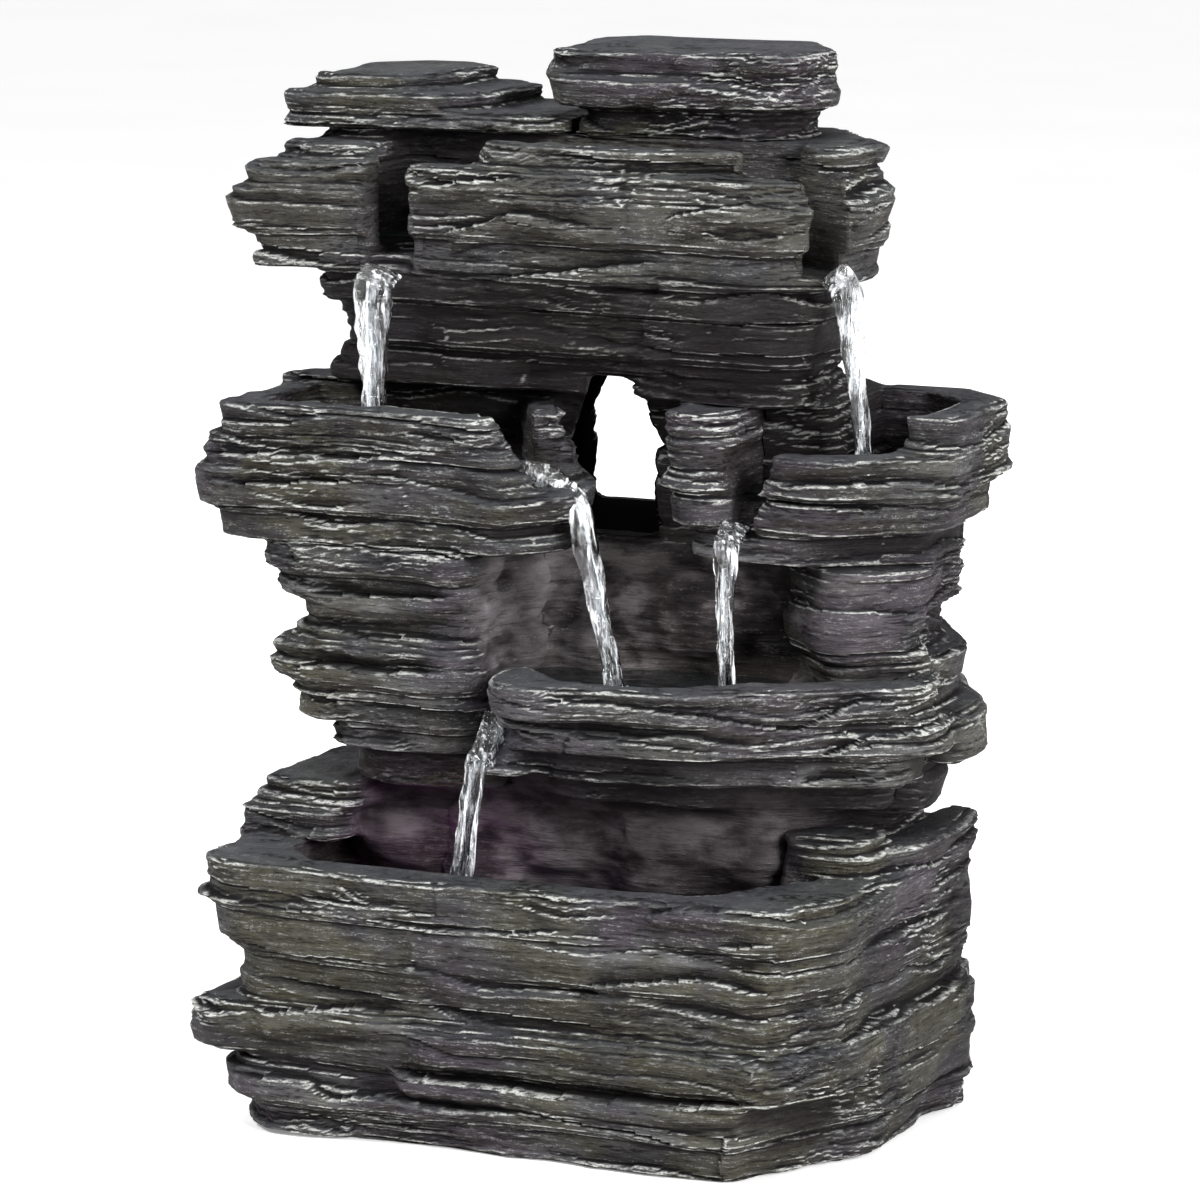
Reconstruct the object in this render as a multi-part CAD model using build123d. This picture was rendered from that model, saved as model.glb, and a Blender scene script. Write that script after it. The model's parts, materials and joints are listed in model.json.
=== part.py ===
from build123d import *
import math
import os
from typing import NamedTuple

# A garden fountain: slate-look resin castings stacked into a cascade over a pumped reservoir.
# Millimetres, +Z up, +Y towards the back. The origin is on the ground under the middle of the fountain.


class Slate(NamedTuple):
    """One layer of a casting: its thickness and where its left, right and front edges lie."""

    thick: float
    left: float
    right: float
    front: float


# Reach of the widest ledges
LEFT_EDGE = -204.0
RIGHT_EDGE = 204.0
FRONT_EDGE = -142.0

# Resin castings
WALL = 9.0
FLOOR = 10.0
CHIP_PITCH = 34.0
CHIP_DEPTH = 6.0
CUT_LIMIT = 0.75
TINY = 1e-6

# Reservoir at the foot
BASE_BACK = 142.0
BASE_SLATES = (
    Slate(20, -166, 174, -128),
    Slate(24, -174, 179, -134),
    Slate(28, LEFT_EDGE + 8, 180, -136),
    Slate(28, -174, 177, -131),
    Slate(26, -180, 180, -135),
    Slate(24, -188, 179, -139),
)
BASE_FOOT_CUTS = ((26, 28), (46, 88), (26, 60), (30, 36))
BASE_FOOT_LAYERS = 2
BASE_CUTS = ((24, 22), (24, 44), (26, 60), (30, 36))
BASE_RIM = 16.0
BASE_REAR_WALL = 12.0
FRONT_LEDGE = Slate(20, -60, 152, FRONT_EDGE)
FRONT_LEDGE_CUTS = ((18, 8), (14, 20), (0, 0), (0, 0))
FRONT_LEDGE_LIFT = 48.0
DECK_RIGHT = -58.0
DECK_SLATES = (Slate(17, -190, DECK_RIGHT, -72), Slate(15, -182, DECK_RIGHT, -66))
DECK_HORN = 58.0
DECK_STEP = 36.0
DECK_SLOPE = 10.0
DECK_BACK = 94.0
RIGHT_SHOULDER = Slate(15, 140, 179, -22)
RIGHT_SHOULDER_CUTS = ((8, 12), (14, 20), (0, 0), (0, 0))
RIGHT_SHOULDER_BACK = 100.0
APRON_DROP = 42.0

# Middle of the cascade
SERVICE_FRONT = 15.0
SERVICE_BACK = 135.0
SERVICE_SLATES = (
    Slate(26, -150, 160, SERVICE_FRONT),
    Slate(30, -146, 172, SERVICE_FRONT),
    Slate(28, -151, 200, SERVICE_FRONT),
    Slate(30, -145, 184, SERVICE_FRONT),
    Slate(26, -150, 172, SERVICE_FRONT),
    Slate(25, -148, 182, SERVICE_FRONT),
)
SERVICE_CUTS = ((0, 0), (0, 0), (44, 72), (34, 40))
SERVICE_WALL = 20.0
POOL_WALL_SLATES = (Slate(16, DECK_RIGHT, 140, -30), Slate(16, DECK_RIGHT, 140, -38))
POOL_WALL_CUTS = ((0, 0), (24, 30), (0, 0), (0, 0))
PILLAR_RIGHT = -42.0
PILLAR_SLATES = (
    Slate(22, -128, PILLAR_RIGHT, -62),
    Slate(14, -138, PILLAR_RIGHT, -76),
    Slate(22, -156, PILLAR_RIGHT, -82),
    Slate(22, -165, PILLAR_RIGHT, -87),
    Slate(22, -153, PILLAR_RIGHT, -80),
    Slate(15, -164, PILLAR_RIGHT, -83),
    Slate(16, -171, PILLAR_RIGHT, -89),
)
PILLAR_CUTS = ((20, 16), (12, 14), (0, 0), (0, 0))
CENTRE_KEEL_SLATES = (Slate(18, PILLAR_RIGHT, 166, -60), Slate(18, PILLAR_RIGHT, 184, -88))
CENTRE_KEEL_CUTS = ((60, 24), (84, 54), (12, 14), (0, 0))
CENTRE_SLATES = (
    Slate(20, PILLAR_RIGHT, RIGHT_EDGE - 3, -108),
    Slate(18, PILLAR_RIGHT, RIGHT_EDGE - 9, -118),
)
CENTRE_CUTS = ((40, 36), (96, 78), (12, 14), (0, 0))
CENTRE_RIM = 18.0
CENTRE_POOL_DEPTH = 30.0
CENTRE_SPOUT_WIDTH = 26.0
CENTRE_SPOUT_DEPTH = 24.0
CENTRE_SPOUT_BACK = 10.0
THROAT_SIDE = 9.0
THROAT_FRONT = -94.0
THROAT_BEND = -62.0
THROAT_DROP = 26.0
RIGHT_PILLAR_SLATES = (Slate(20, 106, 184, -36), Slate(20, 111, 180, -33), Slate(21, 106, 184, -38))
RIGHT_PILLAR_CUTS = ((38, 42), (26, 30), (0, 0), (0, 0))
COVE = 34.0
COVE_HOLLOW = 12.0

# Side pools and the pierced wall between them
UPPER_FRONT = 5.0
LEFT_SLATES = (
    Slate(18, LEFT_EDGE + 10, 0, -88),
    Slate(20, LEFT_EDGE, 8, -97),
    Slate(18, LEFT_EDGE + 2, 6, -96),
    Slate(18, LEFT_EDGE + 6, -4, -93),
)
LEFT_CUTS = ((20, 12), (26, 30), (30, 46), (0, 0))
LEFT_POOL_DEPTH = 42.0
LEFT_RIM = 20.0
LEFT_SHOULDER = Slate(66, LEFT_EDGE + 2, -150, UPPER_FRONT)
LEFT_SHOULDER_CUTS = ((0, 0), (0, 0), (0, 0), (22, 20))
LEFT_SHOULDER_BACK = 46.0
LEFT_SHOULDER_LIFT = 14.0
LEFT_SPOUT = (-76.0, -44.0)
LEFT_SPOUT_DEPTH = 38.0
LEFT_SPOUT_RUN = 40.0
LEFT_SPOUT_FALL = 44.0
WINDOW_WALL_LEFT = -150.0
WINDOW_WALL_RIGHT = 125.0
WINDOW_WALL_BACK = 126.0
WINDOW_SLATES = (
    Slate(30, WINDOW_WALL_LEFT, WINDOW_WALL_RIGHT, UPPER_FRONT),
    Slate(26, WINDOW_WALL_LEFT, WINDOW_WALL_RIGHT, UPPER_FRONT),
    Slate(24, WINDOW_WALL_LEFT, WINDOW_WALL_RIGHT, UPPER_FRONT),
    Slate(22, -158, 118, -24),
    Slate(23, -149, 122, -34),
)
WINDOW_FOOT_LAYERS = 3
WINDOW_FOOT_CUTS = ((0, 0), (0, 0), (30, 34), (30, 30))
WINDOW_CUTS = ((14, 12), (14, 12), (52, 70), (30, 30))
WINDOW_MIDDLE = 3.0
WINDOW_WIDTH = 56.0
WINDOW_TURN = 19.0
WINDOW_SILL = 3.0
WINDOW_HEIGHT = 88.0
WINDOW_SPRING = 46.0
RIGHT_SLATES = (
    Slate(18, 66, RIGHT_EDGE - 20, -40),
    Slate(20, 60, RIGHT_EDGE - 7, -50),
    Slate(22, 56, RIGHT_EDGE, -58),
    Slate(20, 58, RIGHT_EDGE - 1, -58),
)
RIGHT_BACK = 100.0
RIGHT_CUTS = ((10, 12), (52, 48), (34, 30), (0, 0))
RIGHT_RIM = 17.0
RIGHT_POOL_DEPTH = 48.0
RIGHT_ARM = 32.0
RIGHT_SPOUT_TOP = 40.0
RIGHT_SPOUT_FOOT = 14.0
RIGHT_SPOUT_DEPTH = 68.0
RIGHT_FRONT_DROP = 20.0
RIGHT_DROP_BACK = -6.0

# Header pool under the cap stones
HEADER_BACK = 122.0
HEADER_SLATES = (
    Slate(18, -156, 126, -40),
    Slate(20, LEFT_EDGE + 10, 141, -47),
    Slate(24, LEFT_EDGE, 145, -54),
    Slate(14, LEFT_EDGE + 10, 144, -50),
)
HEADER_CUTS = ((12, 8), (40, 30), (58, 72), (34, 40))
HEADER_POOL_DEPTH = 44.0
HEADER_POOL = Slate(0, -134, 104, -24)
HEADER_POOL_CUTS = ((12, 8), (14, 18), (58, 72), (34, 40))
HEADER_REAR_WALL = 22.0
HEADER_FLOOR = 12.0
HEADER_SCREEN_FRONT = 30.0
HEADER_SCREEN_LIFT = 14.0
CREST = Slate(14, -62, 92, -46)
CREST_WIDTH = 26.0
CREST_CUTS = ((16, 14), (48, 20), (0, 0), (0, 0))
LEFT_CREST = Slate(9, -186, -126, -34)
LEFT_CREST_BACK = 30.0
LEFT_CREST_CUTS = ((26, 18), (8, 10), (0, 0), (0, 0))
REAR_RIM = Slate(15, -186, 141, 8)
REAR_RIM_CUTS = ((20, 24), (10, 16), (58, 72), (34, 40))
LIP_WIDTH = 25.0
LIP_DEPTH = 50.0
LEFT_LIP = ((-111, -10), (-111, -80))
LEFT_LIP_STEP = -34.0
LEFT_LIP_DROP = 8.0
RIGHT_LIP = ((88, 12), (166, -34))
CAP_BACK = 117.0
LEFT_CAP_SLATES = (
    Slate(10, LEFT_EDGE + 2, -42, -2),
    Slate(10, LEFT_EDGE, -82, -6),
    Slate(9, LEFT_EDGE + 14, -110, 6),
)
LEFT_CAP_CUTS = ((20, 10), (20, 30), (26, 24), (28, 30))
RIGHT_CAP_LAYER = 16.0
RIGHT_CAP_SLATES = (
    Slate(RIGHT_CAP_LAYER, -32, 95, 26),
    Slate(RIGHT_CAP_LAYER, -44, 104, 15),
    Slate(RIGHT_CAP_LAYER - 1, -46, 102, 17),
)
RIGHT_CAP_CUTS = ((12, 10), (20, 18), (32, 46), (18, 20))

# Riser hose and its fittings, all on one upright axis
HOSE_X = -84.0
HOSE_Y = 74.0
HOSE_BORE = 6.6
HOSE_WALL = 2.0
HOSE_FIT = 0.15
HOSE_GRIP = 18.0
HOSE_ROOM = 12.0
CLAMP_WIDTH = 8.0
CLAMP_THICK = 1.6
CLAMP_EAR = 7.0
BARREL_RADIUS = 8.0
BARREL_FIT = 0.3
FLANGE_RADIUS = 14.0
FLANGE_THICK = 3.0
GASKET_THICK = 2.0
NOZZLE_HEIGHT = 16.0
NUT_ACROSS = 26.0
NUT_THICK = 6.0

# Submersible pump
PUMP_STAND = 5.0
PUMP_SIZE = 46.0
PUMP_EDGE = 5.0
MOTOR_LENGTH = 40.0
CHAMBER_LENGTH = 20.0
CHAMBER_RADIUS = 17.0
PUMP_SHELL = 2.5
CORE_LENGTH = 20.0
THIMBLE_WALL = 1.5
POT_FIT = 0.2
IMPELLER_RADIUS = 14.5
IMPELLER_BLADES = 6
BLADE_THICK = 1.8
BLADE_WIDTH = 9.0
HUB_RADIUS = 5.0
RUN_GAP = 0.6
MAGNET_RADIUS = 9.0
MAGNET_LENGTH = 26.0
WELL_RADIUS = 10.5
SHAFT_RADIUS = 1.5
SHAFT_FIT = 0.05
BUSH_RADIUS = 4.0
BUSH_LENGTH = 4.0
INLET_RADIUS = 11.0
INLET_HUB = 5.6
COVER_THICK = 3.0
PORTS = 3
PORT_ANGLE = 56.0
DIAL_THICK = 2.4
DIAL_RADIUS = 13.0
DIAL_TAB = 5.0
DIAL_TAB_WIDTH = 4.0
DIAL_GAP = 0.3
DIAL_FIT = 0.05
STRAINER_LENGTH = 24.0
STRAINER_WALL = 2.0
STRAINER_FIT = 0.3
SLOT_WIDTH = 2.6
SLOT_PITCH = 6.0
FOAM_THICK = 12.0
FOOT_RADIUS = 6.5
FOOT_NECK = 3.5
FOOT_LIP = 2.0
FOOT_SPREAD = 28.0

# Light in the foot pool
LIGHT_X = 2.0
LIGHT_Y = -84.0
LIGHT_RADIUS = 17.0
LIGHT_HEIGHT = 20.0
LIGHT_WALL = 2.5
LIGHT_STAND = 6.0
LENS_THICK = 3.0
SEAL_THICK = 1.6
BOARD_THICK = 1.6
BOARD_LEDGE = 2.0
BOARD_LIFT = 10.0
BOARD_FIT = 0.3
LED_RADIUS = 3.0
LED_HEIGHT = 2.5
LIGHT_FOOT_RADIUS = 13.0
LIGHT_FOOT_NECK = 6.0
LIGHT_FOOT_LIP = 2.0

# Service door in the back
DOOR_X = -30.0
DOOR_WIDTH = 132.0
DOOR_HEIGHT = 118.0
DOOR_LIFT = 26.0
DOOR_LAP = 18.0
DOOR_THICK = 6.0
DOOR_FIT = 0.8
SEAL_WIDTH = 6.0
DOOR_SEAL_THICK = 2.0
SCREW_RADIUS = 2.5
SCREW_EDGE = 6.0
SCREW_BITE = 8.0
SCREW_FIT = 0.06
KNOB_RADIUS = 8.0
KNOB_THICK = 7.0
KNOB_FLUTES = 8
KNOB_FLUTE_RADIUS = 1.6
INSERT_RADIUS = 4.2
INSERT_LENGTH = 9.0
INSERT_FIT = 0.1
GROMMET_X = 76.0
GROMMET_LIFT = 30.0
GROMMET_BORE = 4.5
GROMMET_RADIUS = 9.0
GROMMET_FLANGE = 13.0
GROMMET_LIP = 3.0

# Drain in the back of the reservoir
DRAIN_X = 104.0
DRAIN_LIFT = 14.0
DRAIN_BORE = 8.0
DRAIN_BUSH_WALL = 2.5
DRAIN_FLANGE = 15.0
DRAIN_LIP = 2.5
DRAIN_FIT = 0.1
DRAIN_RECESS = 16.0
DRAIN_RECESS_HALF = 18.0
BUNG_FIT = 0.1
BUNG_HEAD = 11.0
BUNG_HEAD_THICK = 4.0
PULL_RADIUS = 4.0
PULL_WIRE = 1.3

# Heights, from the ground up


def height(slates):
    """Total thickness of a stack of layers."""
    return sum(slate.thick for slate in slates)


RIM_Z = height(BASE_SLATES)
DECK_Z = RIM_Z + height(DECK_SLATES)
CENTRE_Z = RIM_Z + height(POOL_WALL_SLATES)
BOWL_Z = CENTRE_Z + height(CENTRE_KEEL_SLATES)
CENTRE_TOP = BOWL_Z + height(CENTRE_SLATES)
UPPER_Z = RIM_Z + height(SERVICE_SLATES)
HEADER_Z = UPPER_Z + height(WINDOW_SLATES)
HEADER_TOP = HEADER_Z + height(HEADER_SLATES)
CAP_Z = HEADER_TOP + REAR_RIM.thick
LEFT_TOP = UPPER_Z + height(LEFT_SLATES)
RIGHT_TOP = UPPER_Z + height(RIGHT_SLATES)
HEADER_POOL_Z = HEADER_TOP - HEADER_POOL_DEPTH
SKY = CAP_Z + max(height(LEFT_CAP_SLATES), height(RIGHT_CAP_SLATES))

PUMP_Z = FLOOR + PUMP_STAND
ROTOR_Z = PUMP_Z + PUMP_SIZE / 2
CHAMBER_LEFT = HOSE_X - CHAMBER_LENGTH / 2
CHAMBER_RIGHT = HOSE_X + CHAMBER_LENGTH / 2
PUMP_RIGHT = CHAMBER_RIGHT + MOTOR_LENGTH
COVER_LEFT = CHAMBER_LEFT - COVER_THICK
DIAL_LEFT = COVER_LEFT - DIAL_GAP - DIAL_THICK
STRAINER_LEFT = COVER_LEFT - STRAINER_LENGTH
MAGNET_LEFT = CHAMBER_RIGHT - RUN_GAP
MAGNET_RIGHT = MAGNET_LEFT + MAGNET_LENGTH
WELL_RIGHT = MAGNET_RIGHT + RUN_GAP
BUSH_RIGHT = WELL_RIGHT + BUSH_LENGTH
THIMBLE_RIGHT = BUSH_RIGHT + THIMBLE_WALL
THIMBLE_RADIUS = WELL_RADIUS + THIMBLE_WALL
CORE_RIGHT = CHAMBER_RIGHT + PUMP_SHELL + CORE_LENGTH
BUSH_STAND = BUSH_LENGTH - COVER_THICK
SPIGOT_FOOT = PUMP_Z + PUMP_SIZE
SPIGOT_TOP = SPIGOT_FOOT + HOSE_GRIP
SPIGOT_RADIUS = HOSE_BORE - HOSE_FIT
HOSE_RADIUS = HOSE_BORE + HOSE_WALL
FLOOR_UNDER = HEADER_POOL_Z - HEADER_FLOOR
NUT_Z = FLOOR_UNDER - NUT_THICK
TAIL_Z = NUT_Z - HOSE_GRIP

LIGHT_Z = FLOOR + LIGHT_STAND
LIGHT_RIM = LIGHT_Z + LIGHT_HEIGHT
BOARD_Z = LIGHT_Z + BOARD_LIFT

DOOR_Z = RIM_Z + DOOR_LIFT
DOOR_INNER = SERVICE_BACK - DOOR_THICK
SEAT_Y = DOOR_INNER - DOOR_SEAL_THICK
SCREW_Z = DOOR_Z + DOOR_HEIGHT / 2
SCREW_REACH = DOOR_WIDTH / 2 - SCREW_EDGE
GROMMET_Z = RIM_Z + GROMMET_LIFT
DRAIN_Z = FLOOR + DRAIN_LIFT
DRAIN_Y = BASE_BACK - DRAIN_RECESS


# Building blocks


def block(x0, x1, y0, y1, z0, z1):
    """A box between two corners."""
    return Pos((x0 + x1) / 2, (y0 + y1) / 2, (z0 + z1) / 2) * Box(x1 - x0, y1 - y0, z1 - z0)


def prism(points, z0, z1):
    """An upright prism on a plan outline."""
    return Pos(0, 0, z0) * extrude(make_face(Polyline(*points, close=True)), z1 - z0)


def front_prism(points, y0, y1, turn=0):
    """A prism going back from an outline of x and z, turned to the left by an angle in plan."""
    face = make_face(Polyline(*[(x, y0, z) for x, z in points], close=True))
    way = Vector(-math.tan(math.radians(turn)), 1, 0) * (y1 - y0)
    return extrude(face, way.length, dir=way.normalized())


def side_prism(points, x0, x1):
    """A prism going right from an outline of y and z."""
    face = make_face(Polyline(*[(x0, y, z) for y, z in points], close=True))
    return extrude(face, x1 - x0, dir=(1, 0, 0))


def rod(radius, start, end):
    """A round bar from one point to another."""
    start, end = Vector(start), Vector(end)
    way = end - start
    bar = Cylinder(radius, way.length, align=(Align.CENTER, Align.CENTER, Align.MIN))
    return Plane(start, z_dir=way) * bar


def pipe(outer, inner, start, end):
    """A round tube from one point to another."""
    return rod(outer, start, end) - rod(inner, start, end)


def chip(seed, place):
    """A repeatable number from 0 to 1, for how far a broken edge is set in."""
    return math.sin(12.9898 * seed + 78.233 * place) * 43758.5453 % 1.0


def broken_side(start, end, inward, seed):
    """Points of a broken slate edge from one corner to the next, the last corner left out."""
    length = math.dist(start, end)
    steps = max(1, round(length / CHIP_PITCH))
    points = [start]
    for k in range(1, steps):
        share = (k + 0.5 * (chip(seed, k) - 0.5)) / steps
        depth = CHIP_DEPTH * chip(seed + 7, k)
        points.append(tuple(a + (b - a) * share + depth * n for a, b, n in zip(start, end, inward)))
    return points


def slate_outline(slate, back, cuts, seed, broken):
    """Plan outline of a layer. Its corner cuts go round from the front left, and some sides are rough."""
    left, right, front = slate.left, slate.right, slate.front
    across, deep = (right - left) * CUT_LIMIT, (back - front) * CUT_LIMIT
    (ax, ay), (bx, by), (cx, cy), (dx, dy) = [(min(x, across), min(y, deep)) for x, y in cuts]
    sides = (
        ("front", (left + ax, front), (right - bx, front), (0, 1)),
        ("front_right", (right - bx, front), (right, front + by), (-0.7, 0.7)),
        ("right", (right, front + by), (right, back - cy), (-1, 0)),
        ("back_right", (right, back - cy), (right - cx, back), (-0.7, -0.7)),
        ("back", (right - cx, back), (left + dx, back), (0, -1)),
        ("back_left", (left + dx, back), (left, back - dy), (0.7, -0.7)),
        ("left", (left, back - dy), (left, front + ay), (1, 0)),
        ("front_left", (left, front + ay), (left + ax, front), (0.7, 0.7)),
    )
    points = []
    for number, (name, start, end, inward) in enumerate(sides):
        if math.dist(start, end) < TINY:
            continue
        rough = any(part in broken for part in name.split("_"))
        points += broken_side(start, end, inward, seed + 11 * number) if rough else [start]
    return points


def stack(slates, z, back, cuts, seed, broken=("left", "front", "right"), top=None):
    """Layers of slate one on another, as one solid. Where a top is given, the last layer reaches it."""
    layers = []
    for number, slate in enumerate(slates):
        points = slate_outline(slate, back, cuts, seed + 3.1 * number, broken)
        last = top is not None and number == len(slates) - 1
        layers.append(prism(points, z, top if last else z + slate.thick))
        z += slate.thick
    return Part() + layers


def channel(ends, width, z0, z1):
    """A straight upright-sided cut between two points of a plan."""
    (x0, y0), (x1, y1) = ends
    length = math.dist((x0, y0), (x1, y1))
    nx, ny = (y1 - y0) / length * width / 2, (x0 - x1) / length * width / 2
    return prism([(x0 + nx, y0 + ny), (x1 + nx, y1 + ny), (x1 - nx, y1 - ny), (x0 - nx, y0 - ny)], z0, z1)


def hollow(left, right, front, back, cuts, z0, z1):
    """A smooth-sided cut between four sides, with cut corners as on a layer."""
    return prism(slate_outline(Slate(0, left, right, front), back, cuts, 0, ()), z0, z1)


# Castings


def foot_hollow():
    """The sump: an eight-sided hollow inside the narrowest layer of the foot."""
    left = max(s.left for s in BASE_SLATES) + BASE_RIM
    right = min(s.right for s in BASE_SLATES) - BASE_RIM
    front = max(s.front for s in BASE_SLATES) + BASE_RIM
    back = BASE_BACK - BASE_REAR_WALL
    return hollow(left, right, front, back, BASE_FOOT_CUTS, FLOOR, SKY)


def deck():
    """The ledge behind the left end of the foot pool. It carries the pillar."""
    inner = max(s.left for s in SERVICE_SLATES) - CHIP_DEPTH
    z, layers = RIM_Z, []
    for number, s in enumerate(DECK_SLATES):
        horn, step = s.left + DECK_HORN, s.front + DECK_STEP
        points = broken_side((s.left, s.front), (horn, s.front), (0, 1), 5 + number)
        points += [(horn, s.front), (horn + DECK_SLOPE, step), (s.right, step), (s.right, SERVICE_FRONT)]
        points += [(inner, SERVICE_FRONT), (inner, DECK_BACK)]
        points += broken_side((s.left, DECK_BACK), (s.left, s.front), (1, 0), 8 + number)
        layers.append(prism(points, z, z + s.thick))
        z += s.thick
    return Part() + layers


def base_reservoir():
    ledge_back = max(s.front for s in BASE_SLATES) + WALL
    ledge = stack((FRONT_LEDGE,), FRONT_LEDGE_LIFT, ledge_back, FRONT_LEDGE_CUTS, 4)
    foot, rest = BASE_SLATES[:BASE_FOOT_LAYERS], BASE_SLATES[BASE_FOOT_LAYERS:]
    body = stack(foot, 0, BASE_BACK, BASE_FOOT_CUTS, 1)
    body += stack(rest, height(foot), BASE_BACK, BASE_CUTS, 2)
    body = body + ledge - foot_hollow()
    shoulder = stack((RIGHT_SHOULDER,), RIM_Z, RIGHT_SHOULDER_BACK, RIGHT_SHOULDER_CUTS, 6, ("front",))
    shoulder -= block(0, SERVICE_SLATES[0].right, SERVICE_FRONT, BASE_BACK, RIM_Z, SKY)
    shoulder -= block(0, max(s.right for s in POOL_WALL_SLATES), -BASE_BACK, SERVICE_FRONT, RIM_Z, SKY)
    apron_front = max(s.front for s in DECK_SLATES) + DECK_STEP
    apron_back = apron_front + WALL
    apron = block(BASE_SLATES[0].left, DECK_RIGHT, apron_front, apron_back, RIM_Z - APRON_DROP, RIM_Z)
    boss = block(
        DRAIN_X - DRAIN_RECESS_HALF - WALL,
        DRAIN_X + DRAIN_RECESS_HALF + WALL,
        DRAIN_Y - BASE_REAR_WALL,
        BASE_BACK - BASE_REAR_WALL,
        FLOOR,
        DRAIN_Z + DRAIN_RECESS_HALF + WALL,
    )
    recess = block(
        DRAIN_X - DRAIN_RECESS_HALF,
        DRAIN_X + DRAIN_RECESS_HALF,
        DRAIN_Y,
        BASE_BACK,
        DRAIN_Z - DRAIN_RECESS_HALF,
        DRAIN_Z + DRAIN_RECESS_HALF,
    )
    hole_radius = DRAIN_BORE + DRAIN_BUSH_WALL + DRAIN_FIT
    hole = rod(hole_radius, (DRAIN_X, 0, DRAIN_Z), (DRAIN_X, BASE_BACK, DRAIN_Z))
    return body + [deck(), shoulder, apron, boss] - [recess, hole]


def left_pillar():
    return stack(PILLAR_SLATES, DECK_Z, SERVICE_FRONT, PILLAR_CUTS, 20, ("left", "front"), UPPER_Z)


def service_shell():
    """The hollow shaft behind the cascade, with the door's opening and seat in its back."""
    side = WALL + CHIP_DEPTH
    shell = stack(SERVICE_SLATES, RIM_Z, SERVICE_BACK, SERVICE_CUTS, 30, ("left", "right"))
    x0 = max(s.left for s in SERVICE_SLATES) + side
    x1 = min(s.right for s in SERVICE_SLATES) - side
    y0, y1 = SERVICE_FRONT + WALL, SERVICE_BACK - SERVICE_WALL
    shell -= hollow(x0, x1, y0, y1, SERVICE_CUTS, RIM_Z, UPPER_Z)
    half = DOOR_WIDTH / 2
    shell -= block(DOOR_X - half, DOOR_X + half, SEAT_Y, SERVICE_BACK, DOOR_Z, DOOR_Z + DOOR_HEIGHT)
    gap = half - DOOR_LAP
    low, high = DOOR_Z + DOOR_LAP, DOOR_Z + DOOR_HEIGHT - DOOR_LAP
    shell -= block(DOOR_X - gap, DOOR_X + gap, y0, SEAT_Y, low, high)
    insert_end = SEAT_Y - INSERT_LENGTH
    for x in screw_places():
        shell -= rod(INSERT_RADIUS + INSERT_FIT, (x, insert_end, SCREW_Z), (x, SEAT_Y, SCREW_Z))
    return shell - rod(GROMMET_RADIUS, (GROMMET_X, y0, GROMMET_Z), (GROMMET_X, SERVICE_BACK, GROMMET_Z))


def centre_basin():
    foot = stack(POOL_WALL_SLATES, RIM_Z, SERVICE_FRONT, POOL_WALL_CUTS, 40, ("right",))
    pool_wall_front = max(s.front for s in POOL_WALL_SLATES)
    pool_wall_right = min(s.right for s in POOL_WALL_SLATES) - POOL_WALL_CUTS[1][0]
    apron_back = pool_wall_front + WALL
    apron = block(DECK_RIGHT, pool_wall_right, pool_wall_front, apron_back, RIM_Z - APRON_DROP, RIM_Z)
    body = stack(CENTRE_KEEL_SLATES, CENTRE_Z, SERVICE_FRONT, CENTRE_KEEL_CUTS, 43, ("front", "right"))
    body += stack(CENTRE_SLATES, BOWL_Z, SERVICE_FRONT, CENTRE_CUTS, 46, ("front", "right"))
    rim = CENTRE_SLATES[-1]
    pool = Slate(0, PILLAR_RIGHT + CENTRE_RIM, rim.right - CENTRE_RIM, rim.front + CENTRE_RIM)
    pool_z = CENTRE_TOP - CENTRE_POOL_DEPTH
    body -= hollow(pool.left, pool.right, pool.front, SERVICE_FRONT, CENTRE_CUTS, pool_z, CENTRE_TOP)
    spout_z = CENTRE_TOP - CENTRE_SPOUT_DEPTH
    spout_right = PILLAR_RIGHT + CENTRE_SPOUT_WIDTH
    lip_z = spout_z - THROAT_DROP
    belly_z = BOWL_Z - CENTRE_KEEL_SLATES[-1].thick
    body += block(PILLAR_RIGHT, spout_right + THROAT_SIDE, THROAT_FRONT, SERVICE_FRONT, belly_z, BOWL_Z)
    throat = [(CENTRE_SPOUT_BACK, spout_z), (THROAT_BEND, spout_z), (THROAT_FRONT, lip_z)]
    throat += [(rim.front, lip_z), (rim.front, CENTRE_TOP), (CENTRE_SPOUT_BACK, CENTRE_TOP)]
    body -= side_prism(throat, PILLAR_RIGHT, spout_right)
    cove = [(PILLAR_RIGHT, SERVICE_FRONT), (PILLAR_RIGHT, SERVICE_FRONT - COVE)]
    cove += [(PILLAR_RIGHT + COVE_HOLLOW, SERVICE_FRONT - COVE_HOLLOW), (PILLAR_RIGHT + COVE, SERVICE_FRONT)]
    body += prism(cove, spout_z, UPPER_Z)
    under = block(
        DECK_RIGHT + CENTRE_RIM,
        pool_wall_right - CENTRE_RIM,
        pool_wall_front + WALL,
        SERVICE_FRONT + WALL,
        RIM_Z,
        pool_z - FLOOR,
    )
    rough = ("front", "right")
    pillar = stack(RIGHT_PILLAR_SLATES, pool_z, SERVICE_FRONT, RIGHT_PILLAR_CUTS, 50, rough, UPPER_Z)
    return service_shell() + [foot, body, pillar, apron] - under


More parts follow.
